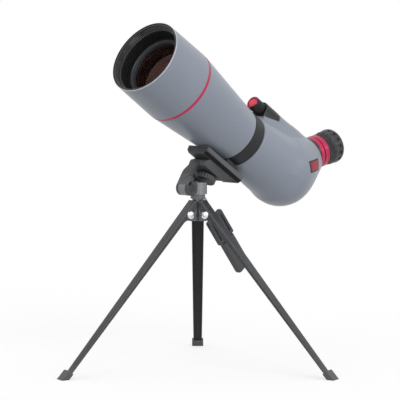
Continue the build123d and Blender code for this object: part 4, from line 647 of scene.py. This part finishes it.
EYE_S = FOLD_STATION + EYE_REACH * cos(radians(EYE_LEAN))
EYE_H = EYE_REACH * sin(radians(EYE_LEAN))
CONE_REACH = hypot(EYE_S - BULB_STATION, EYE_H - BULB_H)
CONE_TILT = atan2(EYE_H - BULB_H, EYE_S - BULB_STATION)
CONE_SLOPE = pi / 2 - atan2(SOCKET_R, CONE_REACH) - acos(BULB_R / hypot(SOCKET_R, CONE_REACH))
NECK_FILLET, RIDGE_FILLET, RIDGE_FILLET_GROWTH, RIDGE_FILLET_FADE = 3.0, 14, 16, 26
RIDGE_FLANK, RIDGE_FLANK_GROWTH, RIDGE_GAP = 0.08, 0.5, 0.1
RAYS, RAY_CROWDING, RAY_REACH, HALVINGS = 240, 0.7, 80.0, 36
SPINE_STEPS, SPINE_LEFT, SOCKET_STEPS = 170, 20, 15
RAY_TURNS = [angle - RAY_CROWDING * sin(angle) for angle in full_turn(RAYS)]


def flowed(gap, other, blend):
    """Two forms joined with a soft fillet."""
    near = np.clip(blend - np.abs(gap - other), 0, None) / blend
    return np.minimum(gap, other) - near**2 * blend / 8


def risen(s, start, end):
    """A smooth rise from nought at one station to one at another."""
    share = np.clip((s - start) / (end - start), 0, 1)
    return share * share * (3 - 2 * share)


def cover_drop(s):
    """How far the focus cover's sides reach below the focus shaft."""
    return COVER_DROP + (COVER_TAIL - COVER_DROP) * (s - COVER_START) / (COVER_END - COVER_START)


def housing_gap(s, h, x):
    """How far points are outside the housing."""
    share = np.clip((s - HOUSE_START) / (BULB_STATION - HOUSE_START), 0, 1)
    neck = np.sqrt((h - BULB_H * share) ** 2 + x**2) - (HOUSE_R + (BULB_NECK_R - HOUSE_R) * share)
    neck = np.maximum(neck, s - BULB_STATION)
    along = (s - BULB_STATION) * cos(CONE_TILT) + (h - BULB_H) * sin(CONE_TILT)
    rise = (h - BULB_H) * cos(CONE_TILT) - (s - BULB_STATION) * sin(CONE_TILT)
    share = along / CONE_REACH
    cone = np.hypot(rise, x) - BULB_R + (BULB_R - SOCKET_R) * (2 * share**2 - share**3)
    bulb = np.where(along > 0, cone, np.sqrt(along**2 + rise**2 + x**2) - BULB_R)
    back, fade = risen(s, COVER_END, RIDGE_END), risen(s, RIDGE_FADE, RIDGE_END)
    covered = (s < COVER_END) & (h > RIDGE_H - cover_drop(s))
    half = np.where(covered, COVER_INNER_R - RIDGE_GAP, RIDGE_R - RIDGE_GAP + RIDGE_SPREAD * back)
    middle = RIDGE_H + (RIDGE_CLIMB - RIDGE_SPREAD) * back
    flank = (RIDGE_FLANK + RIDGE_FLANK_GROWTH * back) * (1 - fade)
    ridge = np.hypot(np.maximum(h - middle, 0), x) - half - flank * np.maximum(middle - h, 0)
    ridge = np.maximum(ridge, np.maximum(RIDGE_START - s, np.maximum(BULB_H - h, RIDGE_CLEAR - rise)))
    fillet = RIDGE_FILLET + RIDGE_FILLET_GROWTH * back - RIDGE_FILLET_FADE * fade
    return flowed(flowed(neck, bulb, NECK_FILLET), ridge, fillet)


def ray_ends(spot, low, high):
    """How far along rays the housing's surface lies; spot gives the points at given reaches."""
    for _ in range(HALVINGS):
        middle = (low + high) / 2
        out = housing_gap(*spot(middle)) > 0
        low, high = np.where(out, low, middle), np.where(out, middle, high)
    return low


def housing_rings():
    """Rings of the housing's outside, square to a spine that bends up towards the eyepiece."""
    rise_share, side_share = np.cos(RAY_TURNS), np.sin(RAY_TURNS)
    rings = []
    for u in np.linspace(0, 1, SPINE_STEPS):
        s = HOUSE_START * (1 - u) ** 2 + 2 * u * (1 - u) * FOLD_STATION + u**2 * EYE_S
        h = u**2 * EYE_H
        lean = atan2(u * EYE_H, (1 - u) * (FOLD_STATION - HOUSE_START) + u * (EYE_S - FOLD_STATION))

        def spot(reach):
            rise = reach * rise_share
            return s - rise * sin(lean), h + rise * cos(lean), reach * side_share

        rings.append(np.stack(spot(ray_ends(spot, np.zeros(RAYS), RAY_REACH)), 1))
    return [[SCOPE @ Vector(point) for point in ring] for ring in rings]


def socket_rings(last):
    """Rings from the housing's last one to the slanted, rounded edge of the eyepiece socket."""
    to_scope, to_eye = np.array(SCOPE.inverted() @ EYE), EYE.inverted()
    starts = np.array([to_eye @ point for point in last])
    turns = np.arctan2(starts[:, 2], starts[:, 1])
    ends = SOCKET_EDGE - SOCKET_SLANT * np.cos(turns)
    rings = []
    for share in np.sin(np.linspace(0, pi / 2, SOCKET_STEPS))[1:]:
        along = starts[:, 0] + (ends - starts[:, 0]) * share

        def spot(reach):
            spots = np.stack([along, reach * np.cos(turns), reach * np.sin(turns), np.ones(RAYS)])
            return (to_scope @ spots)[:3]

        reach = ray_ends(spot, np.zeros(RAYS), RAY_REACH)
        over = np.clip((along - ends) / SOCKET_EASE_LENGTH + 1, 0, 1)
        reach -= SOCKET_EASE * (1 - np.sqrt(1 - over**2))
        rings.append([EYE @ Vector(point) for point in zip(along, reach * np.cos(turns), reach * np.sin(turns))])
    return rings


def ring_on(placed, station, radius):
    """A round ring of points on a line, starting at its Y."""
    return [placed @ Vector((station, radius * cos(a), radius * sin(a))) for a in RAY_TURNS]


rings = [
    ring_on(SCOPE, HOUSE_START + HOUSE_SLEEVE, SLEEVE_SEAT_R), ring_on(SCOPE, HOUSE_START, SLEEVE_SEAT_R),
    ring_on(SCOPE, HOUSE_START, HOUSE_R - 0.6), ring_on(SCOPE, HOUSE_START + 0.12, HOUSE_R - 0.2),
]
rings += housing_rings()[1:-SPINE_LEFT]
rings += socket_rings(rings[-1])
rings += [ring_on(EYE, SOCKET_EDGE, SOCKET_BORE_R), ring_on(EYE, SOCKET_FLOOR, SOCKET_BORE_R)]
rings += [ring_on(EYE, SOCKET_FLOOR, SOCKET_FLOOR_R)]
piece("housing_shell", skin(rings, capped=False), "scope", slate_enamel, "grey_paint", "prism_housing")

BULB = moved(SCOPE, BULB_STATION, BULB_H, lean=degrees(CONE_TILT))
badge_r = SOCKET_R + (CONE_REACH - BADGE_STATION) * tan(CONE_SLOPE)
BADGE = BULB @ Matrix.Translation((BADGE_STATION, 0, badge_r)) @ Matrix.Rotation(CONE_SLOPE, 4, "Y")
BADGE = BADGE @ turned_by(BADGE_SLANT, "Z")
BADGE_REACH, BADGE_SIDE_STEPS = 6.0, 12


def badge_rings(half_length, half_width, corner, lift, sunk):
    """A thin plate with rounded corners, bent to the housing under it: its edge, its bevel and its face."""
    corners = oblong(-half_length, half_length, -half_width, half_width)
    spots = []
    for (x, y, _), (ahead_x, ahead_y, _) in zip(corners, corners[1:] + corners[:1]):
        for step in range(BADGE_SIDE_STEPS):
            share = step / BADGE_SIDE_STEPS
            spots.append((x + (ahead_x - x) * share, y + (ahead_y - y) * share, 0 if step else corner))
    to_scope = np.array(SCOPE.inverted() @ BADGE)
    levels = [(1, -sunk), (1, lift - 0.12), (1 - 0.3 / half_width, lift)] + [(k / 8, lift) for k in range(6, 0, -1)]
    rings = []
    for share, height in levels:
        x, y = share * np.array(eased(spots))[:, :2].T

        def spot(reach):
            return (to_scope @ np.stack([x, y, np.broadcast_to(reach, x.shape), np.ones(x.shape)]))[:3]

        surface = ray_ends(spot, -BADGE_REACH, BADGE_REACH)
        rings.append([BADGE @ Vector(point) for point in zip(x, y, surface + height)])
    return rings


piece(
    "badge_frame", skin(badge_rings(BADGE_LENGTH / 2, BADGE_WIDTH / 2, corner=0.8, lift=0.3, sunk=0.8)),
    "scope", charcoal_abs, "black_plastic", "badge_plate",
)
field_half = BADGE_LENGTH / 2 - BADGE_BORDER_LENGTH, BADGE_WIDTH / 2 - BADGE_BORDER_WIDTH
piece(
    "badge_field", skin(badge_rings(*field_half, corner=0.6, lift=0.45, sunk=0.4)),
    "scope", badge_enamel, "red_anodised",
)

# Focus drive on the ridge

knob = [
    (KNOB_START, LEAD_R), (KNOB_START, KNOB_BORE_R), (KNOB_FRONT, KNOB_BORE_R, 0.1), (KNOB_FRONT, KNOB_R - 0.4, 0.2),
    (KNOB_FRONT + 0.7, KNOB_R, 0.3), (KNOB_FRONT + 1.5, KNOB_R, 0.3, 1), (KNOB_END - 1.4, KNOB_R, 0.3, 1),
    (KNOB_END - 0.8, KNOB_R, 0.3), (KNOB_END, KNOB_R - 0.4, 0.3), (KNOB_END, LEAD_R),
]
piece(
    "focus_grip", turn(FOCUS, knob, FINE, fluted(36, 0.4, 1.5)),
    "focus_knob", black_abs, "black_plastic", "focus_knob",
)

cap = [
    (CAP_FRONT + 0.7, 0), (CAP_FRONT + 0.75, 2.4), (CAP_FRONT + 0.95, CAP_R - 0.8, 0.4),
    (CAP_FRONT + 1.3, CAP_R - 0.3, 0.2), (CAP_SEAT, CAP_R), (CAP_SEAT, 0),
]
piece("focus_button", turn(FOCUS, cap, MIDDLE), "focus_knob", cap_red, "red_anodised", "focus_cap")

bezel = [
    (CAP_SEAT, BEZEL_BORE_R), (KNOB_FRONT, BEZEL_BORE_R, 0.2), (CAP_FRONT + 0.4, BEZEL_BORE_R + 0.25, 0.3),
    (CAP_FRONT + 0.4, BEZEL_R - 0.38, 0.3), (CAP_FRONT + 1.0, BEZEL_R, 0.3), (CAP_SEAT, BEZEL_R),
]
piece("focus_bezel", turn(FOCUS, bezel, MIDDLE), "focus_knob", crimson, "red_anodised")


def tombstone(half, drop, count=24):
    """Round top and straight sides about the focus shaft, as height and aside."""
    arc = [pi * step / count - pi / 2 for step in range(count + 1)]
    return [(-drop, -half)] + [(half * cos(a), half * sin(a)) for a in arc] + [(-drop, half)]


cover_rings = []
for step in range(COVER_STEPS + 1):
    station = COVER_START + (COVER_END - COVER_START) * step / COVER_STEPS
    tuck = 0 if 0 < step < COVER_STEPS else COVER_TUCK
    section = tombstone(RIDGE_R - tuck, cover_drop(station)) + tombstone(COVER_INNER_R, cover_drop(station))[::-1]
    cover_rings.append([FOCUS @ Vector((station, h, x)) for h, x in section])
nose = [(x, h) for h, x in tombstone(RIDGE_R - 0.4, COVER_DROP)]
shape = skin(cover_rings)
facing = FOCUS @ turned_by(90, "Y")
plate(facing, [nose, circle(LEAD_HOLE_R)], COVER_START, COVER_START + COVER_FACE_T, 0.3, onto=shape)
piece("focus_saddle", shape, "scope", black_abs, "black_plastic", "focus_cover")

# Eyepiece

barrel = stepped(
    (FLANGE_START, BARREL_BORE_R), FLANGE_R, (RED_EDGE, 0.2), FLANGE_R - PARTING_DEPTH, RED_EDGE + PARTING,
    (FLANGE_R, 0.2), (FLANGE_END, 0.4), BARREL_R, (BARREL_END, 0.4), (BARREL_BORE_R, 0.3),
)
eyepiece_tube = piece(
    "eyepiece_tube", turn(EYE, barrel, MIDDLE), "scope", black_anodised, "black_plastic", "eyepiece_barrel",
)
refinish(
    eyepiece_tube, crimson, EYE,
    lambda s, h, x, r: RED_EDGE + 0.2 < s < FLANGE_END + 0.1 and r > BARREL_R + 1,
)

groove_r = RED_R - RED_GROOVE_DEPTH
red = stepped(
    (FLANGE_END, BARREL_FIT_R), (RED_R, 0.9), (RED_GROOVE[0], 0.7), (groove_r, 0.2), (RED_GROOVE[1], 0.2),
    (RED_R, 0.7), (RED_END, 0.9), BARREL_FIT_R,
)
piece("eyepiece_red_band", turn(EYE, red, BAND), "scope", crimson, "red_anodised", "red_ring")

zoom = [
    (ZOOM_START, BARREL_SLIP_R), (ZOOM_START, ZOOM_R, 0.5), (ZOOM_RED_END, ZOOM_R, 0.4), (ZOOM_RED_END, ZOOM_R - 0.5),
    (ZOOM_RED_END + PARTING, ZOOM_R - 0.5), (ZOOM_RED_END + PARTING, ZOOM_R, 0.3),
    (ZOOM_RED_END + 1.2, ZOOM_R, 0.2, 1), (ZOOM_END - 1.6, ZOOM_R, 0.2, 1), (ZOOM_END - 0.8, ZOOM_R, 0.2),
    (ZOOM_END, ZOOM_R, 0.5), (ZOOM_END, BARREL_SLIP_R),
]
zoom_grip = piece(
    "zoom_grip", turn(EYE, zoom, FINEST, fluted(60, 0.5, 1.2)),
    "zoom_ring", black_abs, "black_plastic", "zoom_ring",
)
refinish(zoom_grip, crimson, EYE, lambda s, h, x, r: s < ZOOM_RED_END + 0.1 and r > BARREL_R + 0.5)

cup = [
    (CUP_START, BARREL_SLIP_R), (CUP_START, CUP_R - 1.9, 0.3), (CUP_START + 0.8, CUP_R - 1.5, 0.3),
    (CUP_START + 2.6, CUP_R, 0.8, 1), (CUP_END - 4.4, CUP_R, 0.3, 1), (CUP_END - 3.8, CUP_R, 0.2),
    (CUP_END - 3.4, CUP_RIM_R, 0.3), (CUP_END, CUP_RIM_R, 1.4), (CUP_END, CUP_LIP_R, 1.2),
    (CUP_END - 2.5, CUP_LIP_R, 0.3), (CUP_END - 2.5, BARREL_SLIP_R),
]
piece("rubber_eyecup", turn(EYE, cup, FINE, fluted(15, 1.3, 1.8)), "eyecup", cup_rubber, "black_rubber", "eyecup")

# Head: plate, pad, bracket, clamp knob, handle and pan base

section = [(PLATE_HALF - PLATE_BEVEL, 0, 0.4), (PLATE_HALF, PLATE_BEVEL, 0.4), (PLATE_HALF, PLATE_T, 0.8)]
section += [(-x, y, setback) for x, y, setback in section[::-1]]
end_on = PLATE_LINE @ turned_by(90, "Y")
shape = plate(end_on, [section], 0, PLATE_LENGTH, 0.5)
for end in (RIB_SET, PLATE_LENGTH - RIB_SET):
    for rib in range(RIBS):
        low = PLATE_BEVEL + RIB_LOW + RIB_PITCH * rib
        bar = oblong(RIB_INSET - PLATE_HALF, PLATE_HALF - RIB_INSET, low, low + RIB_T)
        plate(end_on, [bar], end - RIB_HALF, end + RIB_HALF, 0.2, onto=shape)
quick_plate = piece("quick_plate", shape, "tilt", head_nylon, "black_plastic", "plate")
# The dovetail flanks under the plate are painted dull black: painted shade for the shadowed slot between the plate and
# the platform.
refinish(
    quick_plate, dull_black, PLATE_LINE,
    lambda s, h, x, r: 0.3 < h < PLATE_BEVEL - 0.3 and abs(x) > PLATE_HALF - PLATE_BEVEL,
)

pad = oblong(PAD_INSET, PLATE_LENGTH - PAD_INSET, -PAD_HALF, PAD_HALF, 1.0)
piece(
    "plate_rubber", plate(moved(PLATE_LINE, 0, PLATE_T) @ turned_by(-90, "X"), [pad], 0, PAD_T, 0.2),
    "tilt", black_rubber, "black_rubber", "plate_pad",
)

nose_end, web_top = DECK_FRONT + DECK_NOSE, DECK_RISE + WEB_CLIMB
platform = [
    (nose_end, DECK_TOP, 1.0), (DECK_FRONT, DECK_TOP - DECK_NOSE_DROP, 1.0),
    (DECK_FRONT, DECK_RISE, 1.0), (DECK_FRONT + DECK_FLAT, DECK_RISE, 2.0),
    (DECK_FRONT + DECK_LENGTH, DECK_TOP, 0.6),
]
web = [
    (WEB_FRONT, KNUCKLE_R), (WEB_FRONT, WEB_FRONT_BEND, 3.0), (DECK_FRONT, web_top, 0.5), (nose_end, web_top, 0.5),
    (WEB_BACK, WEB_BACK_BEND, 3.0), (WEB_BACK, KNUCKLE_R),
]
saddle = stepped((WEB_FRONT, 0), (SADDLE_TOP, 1.5), (WEB_BACK, 1.5), 0)
ear = stepped(
    (EAR_INNER, PIN_HOLE_R), (KNUCKLE_R, 0.6), (EAR_OUTER, 0.6), (EAR_SINK_R, 0.1), EAR_SINK_FLOOR, PIN_HOLE_R,
)
cuff = stepped((-CUFF_HALF, 0), (CUFF_R, 0.8), (CUFF_HALF, 0.8), (CUFF_BORE_R, 0.3), CUFF_FLOOR, 0)
bridge = [
    (BRIDGE_FRONT, BRIDGE_LOW, 1.5), (BRIDGE_BACK, BRIDGE_LOW, 1.5), (BRIDGE_BACK, BRIDGE_HIGH, 1.0),
    (BRIDGE_FRONT, BRIDGE_HIGH, 1.0),
]
shape = plate(TILT, [platform], -DECK_HALF, DECK_HALF, 0.7)
plate(TILT, [web], -EAR_OUTER, WEB_NEAR, 0.7, onto=shape)
plate(TILT, [saddle], -EAR_OUTER, EAR_OUTER, 0.7, onto=shape)
plate(TILT, [circle(KNUCKLE_R), circle(PIN_HOLE_R)], -EAR_OUTER, -EAR_INNER, 0.6, onto=shape)
turn(SIDE, ear, SLIM, onto=shape)
turn(HANDLE, cuff, SLIM, onto=shape)
plate(TILT, [bridge], HANDLE_AT[2], BRIDGE_SET - DECK_HALF, 0.6, onto=shape)
piece("tilt_arm", shape, "tilt", head_nylon, "black_plastic", "tilt_bracket")

pin = stepped((PIN_END, 0), (PIN_R, 0.3), PIN_HEAD_START, PIN_HEAD_R, (PIN_HEAD_END, 0.3), 0)
piece("tilt_pin", turn(SIDE, pin, THIN), "tilt", blacked_steel, "steel", "tilt_bolt")

hexagon = [(x, y, 0.3) for x, y in circle(NUT_R, 6)]
piece(
    "tilt_hex_nut", plate(TILT, [hexagon, circle(PIN_HOLE_R)], NUT_START, NUT_END, 0.3),
    "tilt", bright_nickel, "steel", "tilt_nut",
)

clamp = [
    (0, CLAMP_BORE_R), (0, CLAMP_NECK_R, 0.3), (CLAMP_NECK, CLAMP_NECK_R), (CLAMP_NECK, CLAMP_R - 0.8, 0.4),
    (CLAMP_NECK + 0.8, CLAMP_R, 0.4, 1), (CLAMP_END - 0.8, CLAMP_R, 0.6, 1), (CLAMP_END, CLAMP_R - 1.0, 0.5),
    (CLAMP_END - 0.5, CLAMP_R - 4.0, 0.6), (CLAMP_END - 0.5, 0), (CLAMP_FLOOR, 0), (CLAMP_FLOOR, CLAMP_BORE_R),
]
piece(
    "clamp_thumb_knob", turn(CLAMP, clamp, WIDE, fluted(20, 0.6, 1.3)),
    "clamp", head_nylon, "black_plastic", "clamp_knob",
)

rod = stepped((ROD_START, 0), (ROD_R, 0.5), (ROD_END, 0.5), 0)
piece("handle_shaft", turn(HANDLE, rod, THIN), "handle", turned_steel, "steel", "handle_rod")

loops = [oblong(BLADE_START, BLADE_END, -BLADE_HALF, BLADE_HALF, 2.4)]
for height in (-SLOT_H, SLOT_H):
    low, high = height - SLOT_HALF, height + SLOT_HALF
    loops.append(oblong(BLADE_START + SLOT_INSET, BLADE_END - SLOT_INSET, low, high, SLOT_HALF))
shape = plate(HANDLE, loops, -BLADE_T / 2, BLADE_T / 2, 0.7)
spine = stepped((BLADE_START, BLADE_BORE_R), (BLADE_SPINE_R, 0.6), (BLADE_END, 0.6), BLADE_BORE_R)
turn(HANDLE, spine, THIN, onto=shape)
piece("handle_paddle", shape, "handle", head_nylon, "black_plastic", "handle_blade")


def grip_ring(station, shrink):
    """Rounded rectangle of the handle's grip, drawn in by a shrink."""
    half_h, half_t = GRIP_HALF - shrink, GRIP_T / 2 - shrink
    corners = oblong(-half_h, half_h, -half_t, half_t, GRIP_CORNER)
    return [HANDLE @ Vector((station, h, x)) for h, x, _ in eased(corners, 6)]


grip_rings = [grip_ring(BLADE_END, 0.7), grip_ring(BLADE_END + 0.3, 0.2), grip_ring(BLADE_END + 0.9, 0)]
for step in range(GRIP_STEPS + 1):
    angle = pi / 2 * step / GRIP_STEPS
    grip_rings.append(grip_ring(GRIP_END - GRIP_EASE * (1 - sin(angle)), GRIP_EASE * (1 - cos(angle))))
piece("handle_hand_grip", skin(grip_rings), "handle", head_nylon, "black_plastic", "handle_grip")

cylinder = stepped(
    (PAN_LOW, PAN_HOLE_R), (PAN_R, 0.6), (PAN_HIGH, 0.7), (PAN_SINK_R, 0.3), PAN_HIGH - PAN_SINK, PAN_HOLE_R,
)
lug = oblong(-TILT_FORWARD, PAN_LUG_END, PAN_LOW, PAN_HIGH)
shape = turn(PAN, cylinder, MIDDLE)
plate(line_frame(PAN_FOOT, (0, 1, 0), UP), [lug], -KNUCKLE_HALF, KNUCKLE_HALF, 0.5, onto=shape)
plate(TILT, [circle(KNUCKLE_R), circle(PAN_HOLE_R)], -KNUCKLE_HALF, KNUCKLE_HALF, 0.5, onto=shape)
piece("pan_cylinder", shape, "pan", dark_zinc, "dark_enamel", "pan_base")

bolt = [
    (BOLT_LOW, 0), (BOLT_LOW, BOLT_R, 0.4), (BOLT_SEAT, BOLT_R), (BOLT_SEAT, BOLT_HEAD_R),
    (BOLT_TOP, BOLT_HEAD_R, 0.4), (BOLT_TOP, BOLT_SINK_R, 0.2), (BOLT_SINK, BOLT_SINK_FLOOR_R), (BOLT_SINK, 0),
]
piece("pan_bolt", turn(PAN, bolt, THIN), "tripod", turned_steel, "steel", "pan_screw")

washer = stepped((HUB_TOP, WASHER_HOLE_R), (WASHER_R, 0.2), (HUB_TOP + WASHER_T, 0.2), WASHER_HOLE_R)
piece("pan_slip_washer", turn(PAN, washer, SLIM), "tripod", turned_steel, "steel", "pan_washer")

# Tripod: hub, pivot screws, channel legs and rubber feet


def outward_to(name):
    """Level direction from the hub's line out to a leg."""
    azimuth = radians(LEGS[name])
    return Vector((cos(azimuth), sin(azimuth), 0))


def leg_frame(name):
    """Line of one leg from its pivot down to the floor, with Y outwards."""
    outward = outward_to(name)
    pivot = PAN_FOOT + UP * PIVOT_Z + outward * PIVOT_R
    return line_frame(pivot, outward * sin(LEG_ANGLE) - UP * cos(LEG_ANGLE), outward)


hub = stepped((HUB_LOW, 0), (HUB_R, 0.6), HUB_TOP - HUB_CAP_T, (HUB_CAP_R, 0.6), (HUB_TOP, 0.5), 0)
low = Vector((PIVOT_R + LUG_HALF * cos(LEG_ANGLE), PIVOT_Z + LUG_HALF * sin(LEG_ANGLE)))
high = low + Vector((-sin(LEG_ANGLE), cos(LEG_ANGLE))) * -LEG_TOP
lug = [(0, HUB_LOW), (PIVOT_R, HUB_LOW, 1.0), (PIVOT_R, PIVOT_Z), (low.x, low.y), (high.x, high.y, 0.6), (0, high.y)]
shape = turn(PAN, hub, SLIM)
for name in LEGS:
    plate(line_frame(PAN_FOOT, outward_to(name), UP), [lug], -LUG_HALF, LUG_HALF, 0.5, onto=shape)
    plate(leg_frame(name), [circle(LUG_HALF)], -LUG_HALF, LUG_HALF, 0.5, onto=shape)
piece("tripod_hub", shape, "tripod", black_nickel, "dark_enamel", "hub")

head_curve = (SCREW_HEAD_R**2 + SCREW_HEAD_H**2) / (2 * SCREW_HEAD_H)


def screw_head_height(x, y):
    """Domed head with a cross recess."""
    r = hypot(x, y)
    dome = SCREW_HEAD_H - head_curve + sqrt(head_curve**2 - r**2)
    arms = max(min(CROSS_HALF - abs(x), CROSS_REACH - abs(y)), min(CROSS_HALF - abs(y), CROSS_REACH - abs(x)))
    return max(dome - CROSS_DEPTH * min(max(arms / CROSS_EASE + 0.5, 0), 1), 0)


shape = bmesh.new()
for name in LEGS:
    line = leg_frame(name) @ turned_by(-90, "Y")
    for side in (1, -1):
        rings = []
        for ring in range(HEAD_RINGS + 1):
            spots = circle(SCREW_HEAD_R * (1 - ring / HEAD_RINGS) + HEAD_MIDDLE_R, SLIM)
            rings.append([line @ Vector((side * (SCREW_SEAT + screw_head_height(x, y)), x, y)) for x, y in spots])
        skin(rings, onto=shape)
    turn(line, stepped((-SCREW_SEAT, 0), SCREW_R, SCREW_SEAT, 0), STEM, onto=shape)
piece("pivot_screw_set", shape, "tripod", bright_nickel, "bright_screw", "pivot_screws")


def leg_web(station):
    """Height of the leg's outer face."""
    return LEG_WEB_H - LEG_WEB_FALL * station / LEG_END


def leg_half(station):
    """Half the leg's width, which narrows towards the foot."""
    return LEG_HALF - LEG_NARROWING * max(station - LEG_STRAIGHT, 0) / (LEG_END - LEG_STRAIGHT)


def leg_edge(station):
    """Height of the leg's open edge, with a rounded ear at the pivot."""
    spots = np.linspace(station - LEG_EDGE_BLEND, station + LEG_EDGE_BLEND, LEG_EDGE_SPOTS)
    return float(np.mean(np.interp(spots, list(LEG_EDGE), list(LEG_EDGE.values()))))


def leg_section(station):
    """Closed outline of the bent sheet, as height and aside."""
    web, edge, half, t = leg_web(station), leg_edge(station), leg_half(station), LEG_SHEET
    outside = [(edge, -half, 0.4), (web, -half, 2.2), (web, half, 2.2), (edge, half, 0.4)]
    inside = [(edge, half - t, 0.4), (web - t, half - t, 1.0), (web - t, t - half, 1.0), (edge, t - half, 0.4)]
    return eased(outside + inside, 5)


def inside_leg(station, height, aside, radius):
    """Whether a spot lies within the bent sheet, where the colour is painted darker as shade."""
    return height < leg_web(station) - 0.6 * LEG_SHEET and abs(aside) < leg_half(station) - 0.6 * LEG_SHEET


leg_stations = [LEG_TOP + EAR_STEP * step for step in range(EAR_STEPS + 1)]
leg_stations += [SHANK_START + (LEG_END - SHANK_START) * step / SHANK_STEPS for step in range(SHANK_STEPS + 1)]
top = LEG_REACH - FOOT_LENGTH
# The sole is level, just clear of the floor
ends = [(PIVOT_Z + height * sin(LEG_ANGLE)) / cos(LEG_ANGLE) - FOOT_CLEAR for height in (-FOOT_H, FOOT_H)]
shoe = [(top, -FOOT_H, 0.8), (top, FOOT_H, 1.2), (ends[1], FOOT_H, 0.5), (ends[0], -FOOT_H, 0.3)]
for name in LEGS:
    line = leg_frame(name)
    channel = piece(
        f"leg_channel_{name}", skin([[line @ Vector((s, h, x)) for h, x, _ in leg_section(s)] for s in leg_stations]),
        f"leg_{name}", hammer_coat, "dark_enamel", f"leg_{name}",
    )
    # The channel's inner faces get painted shade.
    refinish(channel, leg_inside_shade, line, inside_leg)
    piece(
        f"rubber_foot_{name}", plate(line, [shoe], -FOOT_HALF, FOOT_HALF, 0.7),
        f"leg_{name}", black_rubber, "black_rubber", f"foot_{name}",
    )

# Inner pieces keep their CAD shape and get the finish of what they are made of
KEPT = {
    clear_glass: ["objective_rear", "focus_lens", "roof_prism", "zoom_lens"],
    ruby_glass: ["eye_lens"],
    flock_black: ["light_baffle"],
    dull_black: ["neck_sleeve", "focus_carriage", "prism_holder"],
    black_anodised: ["zoom_cell", "eye_lens_ring"],
    turned_brass: ["focus_screw", "clamp_stud"],
    turned_steel: ["foot_screw"],
}
for coat, names in KEPT.items():
    for name in names:
        mesh = frame["nodes"][name].data
        mesh.materials.clear()
        mesh.materials.append(coat)

# Stage: pale floor, white surroundings, soft lamps and the camera

FLOOR_M = 9
BOARD_GLOW, ROOM_LIGHT = 0.6, 0.58
AIM = Vector((PAN_AT.x + 1.68, PAN_AT.y + 1.63, 182.0))
CAMERA_AZIMUTH, CAMERA_ELEVATION, CAMERA_DISTANCE = 44.17, 4.95, 2600.0
CAMERA_LENS, CAMERA_SENSOR = 217.65, 36.0
LAMP_DISTANCE = 1500
# Name: azimuth, elevation, strength and spread of a broad far lamp
LAMPS = {
    "key_light": (75, 30, 0.85, 40),
    "high_light": (8, 46, 0.28, 40),
    "low_light": (20, 8, 0.52, 30),
    "right_light": (88, 6, 0.42, 30),
    "side_light": (128, 20, 0.17, 8),
}


def backdrop_seen(tree):
    """One where a ray meets the backdrop from the camera, in a mirror or through glass, and nought elsewhere."""
    rays = put(tree, "ShaderNodeLightPath").outputs
    seen = rays["Is Camera Ray"]
    for kind in ("Is Glossy Ray", "Is Transmission Ray"):
        seen = put(tree, "ShaderNodeMath", {"operation": "MAXIMUM"}, {0: seen, 1: rays[kind]}).outputs[0]
    return seen


def aimed(name, data, azimuth, elevation, distance):
    """A lamp or camera turned to the object from an azimuth round from the front and a height over the floor."""
    azimuth, elevation = radians(azimuth), radians(elevation)
    flat = cos(elevation)
    away = Vector((sin(azimuth) * flat, -cos(azimuth) * flat, sin(elevation)))
    made = added(name, data)
    made.location = (AIM + away * distance) * MM
    made.rotation_euler = away.to_track_quat("Z", "Y").to_euler()
    return made


# Matt white painted board: white to the eye, in mirrors and through glass, darker only where a shadow falls.
board = bpy.data.materials.new("white_painted_board")
tree = bare_tree(board)
lift = put(tree, "ShaderNodeMath", {"operation": "MULTIPLY", 1: BOARD_GLOW}, {0: backdrop_seen(tree)})
matt = put(tree, "ShaderNodeBsdfDiffuse", {"Color": colour("#B8B8B8")})
glow = put(tree, "ShaderNodeEmission", {"Color": colour("#FFFFFF")}, {"Strength": lift.outputs[0]})
both = put(tree, "ShaderNodeAddShader", None, {0: matt.outputs[0], 1: glow.outputs[0]})
put(tree, "ShaderNodeOutputMaterial", None, {"Surface": both.outputs[0]})
floor_mesh = bpy.data.meshes.new("floor")
corners = [(-FLOOR_M, -FLOOR_M, 0), (FLOOR_M, -FLOOR_M, 0), (FLOOR_M, FLOOR_M, 0), (-FLOOR_M, FLOOR_M, 0)]
floor_mesh.from_pydata(corners, [], [(0, 1, 2, 3)])
floor_mesh.materials.append(board)
floor = added("floor", floor_mesh)

world = bpy.data.worlds.new("studio_white")
bpy.context.scene.world = world
tree = bare_tree(world)
level = put(tree, "ShaderNodeMapRange", {"To Min": ROOM_LIGHT, "To Max": 1.0}, {"Value": backdrop_seen(tree)})
sky = put(tree, "ShaderNodeBackground", {"Color": colour("#FFFFFF")}, {"Strength": level.outputs["Result"]})
put(tree, "ShaderNodeOutputWorld", None, {"Surface": sky.outputs[0]})

for name, (azimuth, elevation, strength, spread) in LAMPS.items():
    lamp = bpy.data.lights.new(name, "SUN")
    lamp.energy, lamp.angle = strength, radians(spread)
    aimed(name, lamp, azimuth, elevation, LAMP_DISTANCE)

optics = bpy.data.cameras.new("photo_camera")
optics.lens, optics.sensor_width = CAMERA_LENS, CAMERA_SENSOR
camera = aimed("photo_camera", optics, CAMERA_AZIMUTH, CAMERA_ELEVATION, CAMERA_DISTANCE)
bpy.context.scene.camera = camera
bpy.context.scene.view_settings.view_transform = "Standard"
